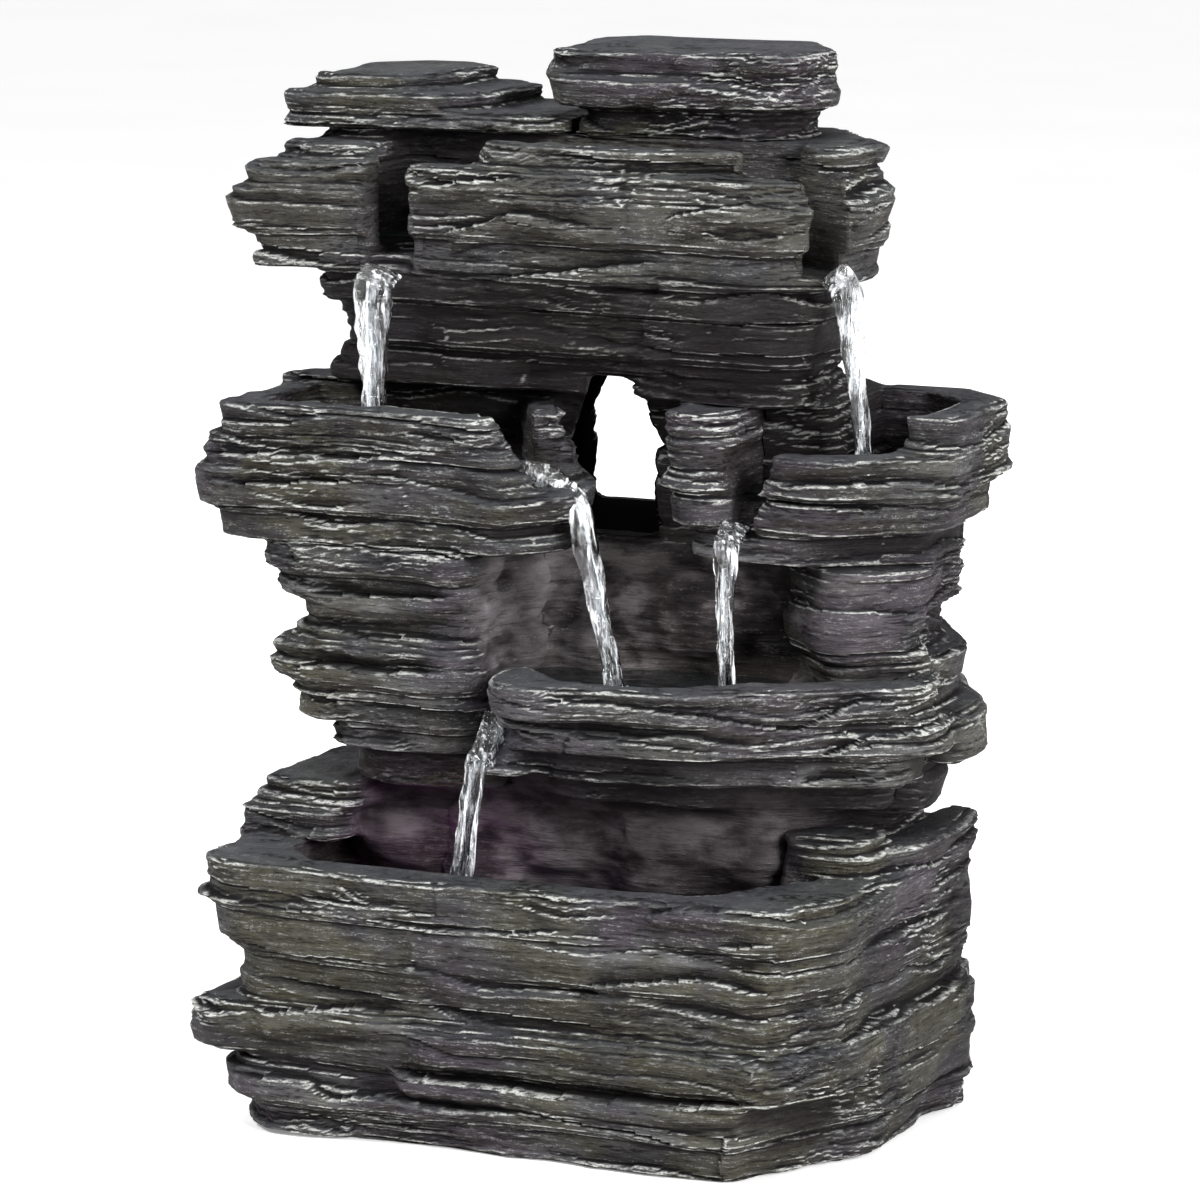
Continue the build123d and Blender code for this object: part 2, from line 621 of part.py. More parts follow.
def left_basin():
    body = stack(LEFT_SLATES, UPPER_Z, UPPER_FRONT, LEFT_CUTS, 60, ("left", "front"))
    shoulder_z = UPPER_Z + LEFT_SHOULDER_LIFT
    body += stack((LEFT_SHOULDER,), shoulder_z, LEFT_SHOULDER_BACK, LEFT_SHOULDER_CUTS, 66, ("left",))
    rim = LEFT_SLATES[-1]
    pool = Slate(0, rim.left + LEFT_RIM, rim.right - LEFT_RIM, rim.front + LEFT_RIM)
    pool_z = LEFT_TOP - LEFT_POOL_DEPTH
    body -= hollow(pool.left, pool.right, pool.front, UPPER_FRONT, LEFT_CUTS, pool_z, SKY)
    front, back = LEFT_SPOUT
    spout_z = LEFT_TOP - LEFT_SPOUT_DEPTH
    right = max(s.right for s in LEFT_SLATES)
    body -= block(pool.right - LEFT_RIM, right, front, back, spout_z, SKY)
    slope = [(right - LEFT_SPOUT_RUN, LEFT_TOP), (right, LEFT_TOP - LEFT_SPOUT_FALL), (right, LEFT_TOP)]
    return body - front_prism(slope, min(s.front for s in LEFT_SLATES), back)


def window_outline(grow, y):
    """The arched window as points of x and z at a depth y, grown on every side."""
    middle = WINDOW_MIDDLE + (UPPER_FRONT - y) * math.tan(math.radians(WINDOW_TURN))
    left, right = middle - WINDOW_WIDTH / 2 - grow, middle + WINDOW_WIDTH / 2 + grow
    low, high = UPPER_Z + WINDOW_SILL - grow, UPPER_Z + WINDOW_SILL + WINDOW_HEIGHT + grow
    spring, shoulder = low + grow + WINDOW_SPRING, WINDOW_WIDTH / 4
    points = [(left, low), (right, low), (right, spring), (right - shoulder, high)]
    return points + [(left + shoulder, high), (left, spring)]


def window_shaft():
    """The hollow behind the pierced wall, where the hose goes up."""
    side = WALL + CHIP_DEPTH
    x0 = max(s.left for s in WINDOW_SLATES) + side
    x1 = min(s.right for s in WINDOW_SLATES) - side
    y0, y1 = max(s.front for s in WINDOW_SLATES) + WALL, WINDOW_WALL_BACK - WALL
    return hollow(x0, x1, y0, y1, WINDOW_CUTS, UPPER_Z, HEADER_Z)


def window_prism(grow):
    """The window's outline, grown on every side, from the front of the wall to its back."""
    front = min(s.front for s in WINDOW_SLATES)
    return front_prism(window_outline(grow, front), front, WINDOW_WALL_BACK, WINDOW_TURN)


def window_wall():
    lower, upper = WINDOW_SLATES[:WINDOW_FOOT_LAYERS], WINDOW_SLATES[WINDOW_FOOT_LAYERS:]
    body = stack(lower, UPPER_Z, WINDOW_WALL_BACK, WINDOW_FOOT_CUTS, 70, ())
    body += stack(upper, UPPER_Z + height(lower), WINDOW_WALL_BACK, WINDOW_CUTS, 75)
    return body - window_shaft() - window_prism(0)


def window_sleeve():
    """The lining that carries the window through the hollow wall."""
    return (window_prism(WALL) & window_shaft()) - window_prism(0)


def right_basin():
    body = stack(RIGHT_SLATES, UPPER_Z, RIGHT_BACK, RIGHT_CUTS, 80, ("front", "right"))
    body -= block(0, WINDOW_WALL_RIGHT, UPPER_FRONT, RIGHT_BACK, UPPER_Z, SKY)
    rim = RIGHT_SLATES[-1]
    pool_z = RIGHT_TOP - RIGHT_POOL_DEPTH
    left, right, front = rim.left + RIGHT_ARM, rim.right - RIGHT_RIM, rim.front + RIGHT_RIM
    pool = hollow(left, right, front, RIGHT_BACK - RIGHT_RIM, RIGHT_CUTS, pool_z, SKY)
    body -= pool - block(0, WINDOW_WALL_RIGHT, UPPER_FRONT, RIGHT_BACK, UPPER_Z, SKY)
    notch_z = RIGHT_TOP - RIGHT_SPOUT_DEPTH
    notch = [(left, notch_z), (left + RIGHT_SPOUT_FOOT, notch_z)]
    notch += [(left + RIGHT_SPOUT_TOP, RIGHT_TOP), (left, RIGHT_TOP)]
    body -= front_prism(notch, -BASE_BACK, front + RIGHT_RIM)
    drop_z = RIGHT_TOP - RIGHT_FRONT_DROP
    reach = max(s.right for s in RIGHT_SLATES)
    return body - block(left, reach, -BASE_BACK, RIGHT_DROP_BACK, drop_z, SKY)


def header_basin():
    body = stack(HEADER_SLATES, HEADER_Z, HEADER_BACK, HEADER_CUTS, 90)
    body += stack((CREST,), HEADER_TOP, CREST.front + CREST_WIDTH, CREST_CUTS, 96)
    body += stack((LEFT_CREST,), HEADER_TOP, LEFT_CREST_BACK, LEFT_CREST_CUTS, 98)
    body += stack((REAR_RIM,), HEADER_TOP, HEADER_BACK, REAR_RIM_CUTS, 97)
    x0, x1 = HEADER_POOL.left, HEADER_POOL.right
    y0, y1 = HEADER_POOL.front, HEADER_BACK - HEADER_REAR_WALL
    body -= hollow(x0, x1, y0, y1, HEADER_POOL_CUTS, HEADER_POOL_Z, SKY)
    body -= hollow(x0, x1, y0, y1, HEADER_POOL_CUTS, HEADER_Z, FLOOR_UNDER)
    screen_back = HEADER_SCREEN_FRONT + WALL
    body += block(x0, x1, HEADER_SCREEN_FRONT, screen_back, HEADER_POOL_Z + HEADER_SCREEN_LIFT, CAP_Z)
    lip_z = HEADER_TOP - LIP_DEPTH
    for ends in (LEFT_LIP, RIGHT_LIP):
        body -= channel(ends, LIP_WIDTH, lip_z, SKY)
    step = ((LEFT_LIP[0][0], LEFT_LIP_STEP), LEFT_LIP[1])
    body -= channel(step, LIP_WIDTH, lip_z - LEFT_LIP_DROP, SKY)
    return body - rod(BARREL_RADIUS + BARREL_FIT, on_hose(FLOOR_UNDER), on_hose(HEADER_POOL_Z))


def left_cap_stone():
    rough = ("left", "front", "right", "back")
    return stack(LEFT_CAP_SLATES, CAP_Z, CAP_BACK, LEFT_CAP_CUTS, 110, rough)


def right_cap_stone():
    rough = ("left", "front", "right", "back")
    return stack(RIGHT_CAP_SLATES, CAP_Z, CAP_BACK, RIGHT_CAP_CUTS, 120, rough)


# Riser hose and its fittings


def on_hose(z):
    """A point on the upright axis of the hose."""
    return (HOSE_X, HOSE_Y, z)


def riser_hose():
    return pipe(HOSE_RADIUS, HOSE_BORE, on_hose(SPIGOT_FOOT), on_hose(NUT_Z))


def hose_clamps():
    """Two bands, one on each end of the hose, with the screw housing as an ear."""
    bore = HOSE_RADIUS + HOSE_FIT
    bands = []
    for z in (SPIGOT_FOOT + HOSE_GRIP / 2, NUT_Z - HOSE_GRIP / 2):
        low, high = z - CLAMP_WIDTH / 2, z + CLAMP_WIDTH / 2
        ear_y = HOSE_Y + bore + CLAMP_THICK + CLAMP_EAR
        ear = block(HOSE_X - CLAMP_EAR, HOSE_X + CLAMP_EAR, HOSE_Y + bore, ear_y, low, high)
        band = rod(bore + CLAMP_THICK, on_hose(low), on_hose(high)) + ear
        bands.append(band - rod(bore, on_hose(low), on_hose(high)))
    return Compound(children=bands)


def header_outlet():
    seat = HEADER_POOL_Z + GASKET_THICK
    body = rod(SPIGOT_RADIUS, on_hose(TAIL_Z), on_hose(NUT_Z))
    body += rod(BARREL_RADIUS, on_hose(NUT_Z), on_hose(seat))
    body += rod(FLANGE_RADIUS, on_hose(seat), on_hose(seat + FLANGE_THICK))
    top = seat + FLANGE_THICK + NOZZLE_HEIGHT
    body += rod(SPIGOT_RADIUS, on_hose(seat + FLANGE_THICK), on_hose(top))
    return body - rod(SPIGOT_RADIUS - HOSE_WALL, on_hose(TAIL_Z), on_hose(top))


def outlet_locknut():
    nut = extrude(RegularPolygon(NUT_ACROSS / 2, 6, major_radius=False), NUT_THICK)
    bore = rod(BARREL_RADIUS + HOSE_FIT, on_hose(NUT_Z), on_hose(FLOOR_UNDER))
    return Pos(*on_hose(NUT_Z)) * nut - bore


def outlet_gasket():
    top = HEADER_POOL_Z + GASKET_THICK
    return pipe(FLANGE_RADIUS, BARREL_RADIUS + HOSE_FIT, on_hose(HEADER_POOL_Z), on_hose(top))


# Pump


def on_rotor(x):
    """A point on the pump's rotor axis."""
    return (x, HOSE_Y, ROTOR_Z)


def pump_section(x0, x1, inset):
    """The pump's square section with cut edges, from x0 to x1, drawn in by inset."""
    half = PUMP_SIZE / 2 - inset
    edge = max(PUMP_EDGE - inset, 1.0)
    points = [(-half + edge, -half), (half - edge, -half), (half, -half + edge), (half, half - edge)]
    points += [(half - edge, half), (-half + edge, half), (-half, half - edge), (-half, -half + edge)]
    return side_prism([(HOSE_Y + y, ROTOR_Z + z) for y, z in points], x0, x1)


def pump_body():
    body = pump_section(CHAMBER_LEFT, PUMP_RIGHT, 0)
    body += rod(SPIGOT_RADIUS, on_hose(SPIGOT_FOOT - PUMP_EDGE), on_hose(SPIGOT_TOP))
    pocket = pump_section(CHAMBER_RIGHT + PUMP_SHELL, PUMP_RIGHT, PUMP_SHELL)
    body -= pocket - rod(THIMBLE_RADIUS, on_rotor(CHAMBER_RIGHT), on_rotor(THIMBLE_RIGHT))
    body -= rod(CHAMBER_RADIUS, on_rotor(CHAMBER_LEFT), on_rotor(CHAMBER_RIGHT))
    body -= rod(WELL_RADIUS, on_rotor(CHAMBER_RIGHT), on_rotor(WELL_RIGHT))
    body -= rod(BUSH_RADIUS + POT_FIT, on_rotor(WELL_RIGHT), on_rotor(BUSH_RIGHT))
    return body - rod(SPIGOT_RADIUS - HOSE_WALL, on_hose(ROTOR_Z), on_hose(SPIGOT_TOP))


def pump_stator_core():
    core = pump_section(CHAMBER_RIGHT + PUMP_SHELL, CORE_RIGHT, PUMP_SHELL + POT_FIT)
    return core - rod(THIMBLE_RADIUS + POT_FIT, on_rotor(CHAMBER_RIGHT), on_rotor(CORE_RIGHT))


def pump_potting():
    potting = pump_section(CORE_RIGHT, PUMP_RIGHT, PUMP_SHELL + POT_FIT)
    well_end = THIMBLE_RIGHT + POT_FIT
    return potting - rod(THIMBLE_RADIUS + POT_FIT, on_rotor(CORE_RIGHT), on_rotor(well_end))


def ports(x0, x1, inner):
    """Round-ended fans of the inlet between its hub and its rim, evenly spaced."""
    ring = pipe(INLET_RADIUS, inner, on_rotor(x0), on_rotor(x1))
    fans = []
    reach = 2 * INLET_RADIUS
    spread = math.tan(math.radians(PORT_ANGLE / 2)) * reach
    for k in range(PORTS):
        fan = side_prism([(0, 0), (-spread, reach), (spread, reach)], 0, x1 - x0)
        wedge = Pos(*on_rotor(x0)) * Rot(360 * k / PORTS, 0, 0) * fan
        fans.append(ring & wedge)
    return fans


def pump_inlet_cover():
    plate = pump_section(COVER_LEFT, CHAMBER_LEFT, 0)
    plate += rod(INLET_HUB, on_rotor(DIAL_LEFT), on_rotor(COVER_LEFT))
    plate -= ports(COVER_LEFT, CHAMBER_LEFT, INLET_HUB)
    return plate - rod(BUSH_RADIUS + POT_FIT, on_rotor(COVER_LEFT), on_rotor(CHAMBER_LEFT))


def pump_flow_dial():
    x0, x1 = DIAL_LEFT, COVER_LEFT - DIAL_GAP
    tab_z = ROTOR_Z + DIAL_RADIUS + DIAL_TAB
    dial = rod(DIAL_RADIUS, on_rotor(x0), on_rotor(x1))
    dial += block(x0, x1, HOSE_Y - DIAL_TAB_WIDTH / 2, HOSE_Y + DIAL_TAB_WIDTH / 2, ROTOR_Z, tab_z)
    dial -= ports(x0, x1, INLET_HUB + DIAL_TAB_WIDTH / 2)
    return dial - rod(INLET_HUB + DIAL_FIT, on_rotor(x0), on_rotor(x1))


def pump_strainer():
    shell = pump_section(STRAINER_LEFT, COVER_LEFT, 0)
    shell -= pump_section(STRAINER_LEFT + STRAINER_WALL, COVER_LEFT, STRAINER_WALL)
    reach = PUMP_SIZE / 2 - 2 * PUMP_EDGE
    count = int(2 * reach // SLOT_PITCH) + 1
    for k in range(count):
        y = HOSE_Y + (k - (count - 1) / 2) * SLOT_PITCH
        slot = block(0, STRAINER_WALL, -SLOT_WIDTH / 2, SLOT_WIDTH / 2, ROTOR_Z - reach, ROTOR_Z + reach)
        shell -= Pos(STRAINER_LEFT, y, 0) * slot
    return shell


def pump_foam_filter():
    left = STRAINER_LEFT + STRAINER_WALL
    return pump_section(left, left + FOAM_THICK, STRAINER_WALL + STRAINER_FIT)


def pump_impeller():
    left, right = CHAMBER_LEFT + BUSH_STAND + RUN_GAP, MAGNET_LEFT
    body = rod(HUB_RADIUS, on_rotor(left), on_rotor(right))
    body += rod(IMPELLER_RADIUS, on_rotor(right - BLADE_THICK), on_rotor(right))
    for k in range(IMPELLER_BLADES):
        half, tip = BLADE_THICK / 2, IMPELLER_RADIUS - BLADE_THICK
        blade = block(right - BLADE_WIDTH, right, -half, half, 0, tip)
        body += Pos(*on_rotor(0)) * Rot(360 * k / IMPELLER_BLADES, 0, 0) * blade
    return body - rod(SHAFT_RADIUS + SHAFT_FIT, on_rotor(left), on_rotor(right))


def pump_rotor_magnet():
    return pipe(MAGNET_RADIUS, SHAFT_RADIUS + SHAFT_FIT, on_rotor(MAGNET_LEFT), on_rotor(MAGNET_RIGHT))


def pump_shaft():
    return rod(SHAFT_RADIUS, on_rotor(COVER_LEFT), on_rotor(BUSH_RIGHT))


def pump_front_bush():
    end = CHAMBER_LEFT + BUSH_STAND
    return pipe(BUSH_RADIUS, SHAFT_RADIUS + SHAFT_FIT, on_rotor(COVER_LEFT), on_rotor(end))


def pump_rear_bush():
    return pipe(BUSH_RADIUS, SHAFT_RADIUS + SHAFT_FIT, on_rotor(WELL_RIGHT), on_rotor(BUSH_RIGHT))


def suction_cup(x, y, radius, neck, lip, top):
    """A rubber cup from the sump floor up to the piece it holds."""
    return rod(radius, (x, y, FLOOR), (x, y, FLOOR + lip)) + rod(neck, (x, y, FLOOR + lip), (x, y, top))


def pump_suction_feet():
    middle = (CHAMBER_LEFT + PUMP_RIGHT) / 2
    half = FOOT_SPREAD / 2
    spots = [(middle + i * half, HOSE_Y + j * half) for i in (-1, 1) for j in (-1, 1)]
    cups = [suction_cup(x, y, FOOT_RADIUS, FOOT_NECK, FOOT_LIP, PUMP_Z) for x, y in spots]
    return Compound(children=cups)


# Light


def on_light(z):
    """A point on the light's upright axis."""
    return (LIGHT_X, LIGHT_Y, z)


def light_housing():
    bore = LIGHT_RADIUS - LIGHT_WALL
    cup = rod(LIGHT_RADIUS, on_light(LIGHT_Z), on_light(LIGHT_RIM))
    cup -= rod(bore - BOARD_LEDGE, on_light(LIGHT_Z + LIGHT_WALL), on_light(BOARD_Z))
    return cup - rod(bore, on_light(BOARD_Z), on_light(LIGHT_RIM))


def light_board():
    """The circuit board with its lamp chip."""
    radius = LIGHT_RADIUS - LIGHT_WALL - BOARD_FIT
    top = BOARD_Z + BOARD_THICK
    led = rod(LED_RADIUS, on_light(top), on_light(top + LED_HEIGHT))
    return rod(radius, on_light(BOARD_Z), on_light(top)) + led


def light_seal():
    seal_top = LIGHT_RIM + SEAL_THICK
    return pipe(LIGHT_RADIUS, LIGHT_RADIUS - LIGHT_WALL, on_light(LIGHT_RIM), on_light(seal_top))


def light_lens():
    low = LIGHT_RIM + SEAL_THICK
    return rod(LIGHT_RADIUS, on_light(low), on_light(low + LENS_THICK))


def light_suction_foot():
    return suction_cup(LIGHT_X, LIGHT_Y, LIGHT_FOOT_RADIUS, LIGHT_FOOT_NECK, LIGHT_FOOT_LIP, LIGHT_Z)


# Service door, grommet and drain


def screw_places():
    """Where the two door screws stand, left and right."""
    return (DOOR_X - SCREW_REACH, DOOR_X + SCREW_REACH)


def rear_door():
    half = DOOR_WIDTH / 2 - DOOR_FIT
    low, high = DOOR_Z + DOOR_FIT, DOOR_Z + DOOR_HEIGHT - DOOR_FIT
    plate = block(DOOR_X - half, DOOR_X + half, DOOR_INNER, SERVICE_BACK, low, high)
    for x in screw_places():
        plate -= rod(SCREW_RADIUS + SCREW_FIT, (x, DOOR_INNER, SCREW_Z), (x, SERVICE_BACK, SCREW_Z))
    return plate


def door_gasket():
    half, low, high = DOOR_WIDTH / 2 - DOOR_LAP, DOOR_Z + DOOR_LAP, DOOR_Z + DOOR_HEIGHT - DOOR_LAP
    outer = half + SEAL_WIDTH
    ring = block(DOOR_X - outer, DOOR_X + outer, SEAT_Y, DOOR_INNER, low - SEAL_WIDTH, high + SEAL_WIDTH)
    return ring - block(DOOR_X - half, DOOR_X + half, SEAT_Y, DOOR_INNER, low, high)


def door_screw(x):
    """A thumbscrew with a fluted knob, on the door's outer face."""
    knob = rod(KNOB_RADIUS, (x, SERVICE_BACK, SCREW_Z), (x, SERVICE_BACK + KNOB_THICK, SCREW_Z))
    for k in range(KNOB_FLUTES):
        turn = 2 * math.pi * k / KNOB_FLUTES
        fx, fz = x + KNOB_RADIUS * math.cos(turn), SCREW_Z + KNOB_RADIUS * math.sin(turn)
        knob -= rod(KNOB_FLUTE_RADIUS, (fx, SERVICE_BACK, fz), (fx, SERVICE_BACK + KNOB_THICK, fz))
    return knob + rod(SCREW_RADIUS, (x, SEAT_Y - SCREW_BITE, SCREW_Z), (x, SERVICE_BACK, SCREW_Z))


def door_inserts():
    bore = SCREW_RADIUS + SCREW_FIT
    ends = [((x, SEAT_Y - INSERT_LENGTH, SCREW_Z), (x, SEAT_Y, SCREW_Z)) for x in screw_places()]
    return Compound(children=[pipe(INSERT_RADIUS, bore, start, end) for start, end in ends])


def cable_grommet():
    inner = SERVICE_BACK - SERVICE_WALL
    places = (inner - GROMMET_LIP, inner, SERVICE_BACK, SERVICE_BACK + GROMMET_LIP)
    p = [(GROMMET_X, y, GROMMET_Z) for y in places]
    body = rod(GROMMET_FLANGE, p[0], p[1]) + rod(GROMMET_FLANGE, p[2], p[3])
    body += rod(GROMMET_RADIUS, p[1], p[2])
    return body - rod(GROMMET_BORE, p[0], p[3])


def at_drain(y):
    """A point on the drain's axis."""
    return (DRAIN_X, y, DRAIN_Z)


def drain_bush():
    outer = DRAIN_BORE + DRAIN_BUSH_WALL
    body = rod(outer, at_drain(DRAIN_Y - BASE_REAR_WALL), at_drain(DRAIN_Y))
    body += rod(DRAIN_FLANGE, at_drain(DRAIN_Y), at_drain(DRAIN_Y + DRAIN_LIP))
    return body - rod(DRAIN_BORE, at_drain(DRAIN_Y - BASE_REAR_WALL), at_drain(DRAIN_Y + DRAIN_LIP))


def drain_bung():
    seat = DRAIN_Y + DRAIN_LIP
    face = seat + BUNG_HEAD_THICK
    bung = rod(DRAIN_BORE - BUNG_FIT, at_drain(DRAIN_Y - BASE_REAR_WALL), at_drain(seat))
    bung += rod(BUNG_HEAD, at_drain(seat), at_drain(face))
    return bung + Pos(*at_drain(face + PULL_RADIUS - PULL_WIRE)) * Torus(PULL_RADIUS, PULL_WIRE)


pieces = {
    "base_reservoir": base_reservoir(),
    "left_pillar": left_pillar(),
    "centre_basin": centre_basin(),
    "left_basin": left_basin(),
    "window_wall": window_wall(),
    "window_sleeve": window_sleeve(),
    "right_basin": right_basin(),
    "header_basin": header_basin(),
    "left_cap_stone": left_cap_stone(),
    "right_cap_stone": right_cap_stone(),
    "riser_hose": riser_hose(),
    "hose_clamps": hose_clamps(),
    "header_outlet": header_outlet(),
    "outlet_locknut": outlet_locknut(),
    "outlet_gasket": outlet_gasket(),
    "pump_body": pump_body(),
    "pump_stator_core": pump_stator_core(),
    "pump_potting": pump_potting(),
    "pump_inlet_cover": pump_inlet_cover(),
    "pump_flow_dial": pump_flow_dial(),
    "pump_strainer": pump_strainer(),
    "pump_foam_filter": pump_foam_filter(),
    "pump_impeller": pump_impeller(),
    "pump_rotor_magnet": pump_rotor_magnet(),
    "pump_shaft": pump_shaft(),
    "pump_front_bush": pump_front_bush(),
    "pump_rear_bush": pump_rear_bush(),
    "pump_suction_feet": pump_suction_feet(),
    "light_housing": light_housing(),
    "light_board": light_board(),
    "light_seal": light_seal(),
    "light_lens": light_lens(),
    "light_suction_foot": light_suction_foot(),
    "rear_door": rear_door(),
    "door_gasket": door_gasket(),
    "door_screw_left": door_screw(screw_places()[0]),
    "door_screw_right": door_screw(screw_places()[1]),
    "door_inserts": door_inserts(),
    "cable_grommet": cable_grommet(),
    "drain_bush": drain_bush(),
    "drain_bung": drain_bung(),
}

os.makedirs("parts", exist_ok=True)
for name, piece in pieces.items():
    export_step(piece, f"parts/{name}.step")
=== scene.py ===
import json
import math

import bmesh
import bpy
import numpy as np
from mathutils import Matrix, Vector
from mathutils.bvhtree import BVHTree


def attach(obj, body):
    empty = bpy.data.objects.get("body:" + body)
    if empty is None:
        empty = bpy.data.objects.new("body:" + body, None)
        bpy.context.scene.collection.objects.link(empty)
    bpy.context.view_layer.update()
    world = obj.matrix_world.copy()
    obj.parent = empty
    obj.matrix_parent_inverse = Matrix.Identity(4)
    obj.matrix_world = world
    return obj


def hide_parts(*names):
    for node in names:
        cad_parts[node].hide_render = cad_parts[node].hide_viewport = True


# The looks of the garden fountain: broken slate on every casting, running water, a glow in the foot pool.
# Metres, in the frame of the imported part: +Z up, +Y towards the back, origin on the ground.

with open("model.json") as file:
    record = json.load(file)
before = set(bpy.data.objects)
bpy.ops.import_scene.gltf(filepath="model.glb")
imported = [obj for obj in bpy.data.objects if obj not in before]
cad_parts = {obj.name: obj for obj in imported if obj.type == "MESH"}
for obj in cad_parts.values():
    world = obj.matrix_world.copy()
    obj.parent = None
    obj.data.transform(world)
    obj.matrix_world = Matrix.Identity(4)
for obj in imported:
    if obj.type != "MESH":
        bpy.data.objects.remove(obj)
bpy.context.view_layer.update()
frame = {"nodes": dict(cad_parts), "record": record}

# Castings of rock
ROCKS = (
    "base_reservoir",
    "left_pillar",
    "centre_basin",
    "left_basin",
    "window_wall",
    "window_sleeve",
    "right_basin",
    "header_basin",
    "left_cap_stone",
    "right_cap_stone",
)
# A shoulder of rock in the corner between a pool's back wall and its end wall: two opposite corners
SHOULDERS = {"base_reservoir": ((0.122, -0.042, 0.100), (0.168, -0.004, 0.172))}
# Swells of rock over the joints in the walls behind the water: middle and half lengths
SWELLS = {
    "base_reservoir": (((-0.106, -0.031, 0.147), (0.034, 0.013, 0.020)),),
    "centre_basin": (
        ((-0.060, -0.030, 0.142), (0.030, 0.012, 0.040)),
        ((-0.010, -0.031, 0.156), (0.042, 0.013, 0.020)),
        ((0.052, -0.029, 0.140), (0.040, 0.012, 0.032)),
        ((0.098, -0.029, 0.156), (0.024, 0.013, 0.018)),
        ((0.030, 0.012, 0.275), (0.050, 0.011, 0.024)),
        ((-0.012, 0.012, 0.250), (0.022, 0.014, 0.022)),
    ),
    "left_pillar": (((-0.044, -0.014, 0.284), (0.013, 0.026, 0.050)),),
}
SWELL_CUTS = 4
# The even mesh of a casting: its grid, how much finer it is upwards, the least slope of an upright edge
VOXEL = 0.0026
STRETCH = 2.4
UPRIGHT = 0.75
# Rounds of smoothing: on all faces, along level edges in plan, on the recessed walls
ROUNDING = 3
PLAN_ROUNDING = 26
RECESS_ROUNDING = 36
# Edges sharper than this many degrees stay crisp
CRISP = 34
# Rays that find walls facing each other, castings that touch, and rock overhead that casts painted shade
WALL_SLOPE = 0.5
WALL_STEP = 0.004
FAR = 0.40
TOUCH = 0.004
TOUCH_FACING = -0.7
SHELTER_WAYS = ((-0.5, -0.5, 0.7), (0.1, -0.6, 0.8), (0.5, -0.4, 0.75), (-0.1, -0.9, 0.45))
SHELTER_STEP = 0.006
SHELTER_FAR = 0.16
# Rounds that spread what the rays find, the roughness and the outward ways
INSIDE_SPREAD = 3
SHELTER_SPREAD = 10
SEAM_SPREAD = 4
SEAM_GAIN = 4
ROUGH_SPREAD = 4
OUT_SPREAD = 8
OUT_LEAST = 0.35

# The back face: where it starts along y, and how plain it is
CALM_Y = (0.035, 0.085)
CALM_BACK = 0.45
BACK_FACING = 0.3
# The fittings in the back face, where the rock stays flat: lowest and highest x and z
FITTINGS = ((-0.096, 0.036, 0.176, 0.294), (0.062, 0.090, 0.166, 0.194), (0.084, 0.124, 0.004, 0.044))
FITTING_MARGIN = (0.006, 0.022)

# Recessed walls and the sill under the window, as boxes with soft sides: for x, y and z a rise from 0 to 1
# and a fall back to 0, each as its start and end
RECESSED = ("base_reservoir", "left_pillar", "centre_basin")
RECESS_Z = ((0.225, 0.245), (0.330, 0.345))
SOFT_BOXES = {
    "back": (((-0.060, -0.035), (0.118, 0.135)), ((-0.012, 0.004), None), RECESS_Z),
    "side": (((-0.066, -0.050), (-0.030, -0.010)), ((-0.080, -0.055), None), RECESS_Z),
    "right": (((0.090, 0.105), (0.160, 0.185)), (None, (0.0, 0.02)), ((0.252, 0.262), (0.325, 0.345))),
    "foot": (((-0.140, -0.128), (0.120, 0.140)), ((-0.066, -0.045), None), ((0.100, 0.110), (0.196, 0.206))),
    "sill": (((-0.062, -0.052), (0.092, 0.102)), ((-0.030, -0.018), None), ((0.302, 0.310), None)),
}
SIDE_FACING = (0.3, 0.7)
RIGHT_SHARE = 0.30
FRONT_FACING = 0.2
SILL_FACING = (0.2, 0.6)
SILL_TOP = 0.345

# Waves in the rock, as rows of height, grain along the ground and grain upwards
FOLDS = ((0.0035, 0.25, 0.40), (0.0010, 0.06, 0.16))
BREAKS = ((0.006, 0.05, 0.02),)
CRUMBS = ((0.0011, 0.006, 0.0032), (0.0014, 0.022, 0.009))
SWIRLS = ((0.0085, 0.055, 0.034), (0.0032, 0.020, 0.013), (0.0010, 0.010, 0.005))
LIFTS = ((0.0035, 0.16, 0.5),)
PITS = ((0.0012, 0.014, 0.014),)
PIT_FACING = (0.5, 0.9)
GROUND_FADE = 0.025
# Layers of slate from thick to thin: least and most thickness, reach, least and most length, lean, tilt
LAYERS = (
    (0.034, 0.075, 0.0040, 0.110, 0.300, 0.0050, 0.0070),
    (0.013, 0.032, 0.0036, 0.050, 0.170, 0.0050, 0.0040),
    (0.0050, 0.0120, 0.0017, 0.016, 0.070, 0.0019, 0.0012),
    (0.0022, 0.0045, 0.0009, 0.006, 0.024, 0.0007, 0.0004),
)
# The layers from this one on are weak in calm places
CALM_LEVELS = 2
CALM_SHARE = 0.15
BUSY_GRAIN = (0.085, 0.034)
BUSY_AT = (-0.08, 0.25)
# How the layers lie and break
DIP = 0.035
BREAK_WAY = (0.85, 0.60)
BREAK_SHIFT = (0.5, 0.4)
BREAK_FADE = (0.80, 1.0)
EDGE_AT = (0.85, 0.13)
EDGE_DROP = 0.9
SLANT = (0.65, 0.55)
WAVER = (0.2, 0.5)
LAYER_SEED, BREAK_SEED, TILT_SEED, SLANT_SEED, SHADE_SEED = 3, 20, 5, 11, 9
BULGE = 0.0010
OFFSET_MIDDLE = 0.0012
OFFSET_REACH = 0.0074
# How much calmer the inner and the recessed walls are
INSIDE_KEEP = 0.9
INSIDE_CALM = 0.85
INSIDE_SWIRL = 0.25
RECESS_CALM = 0.94
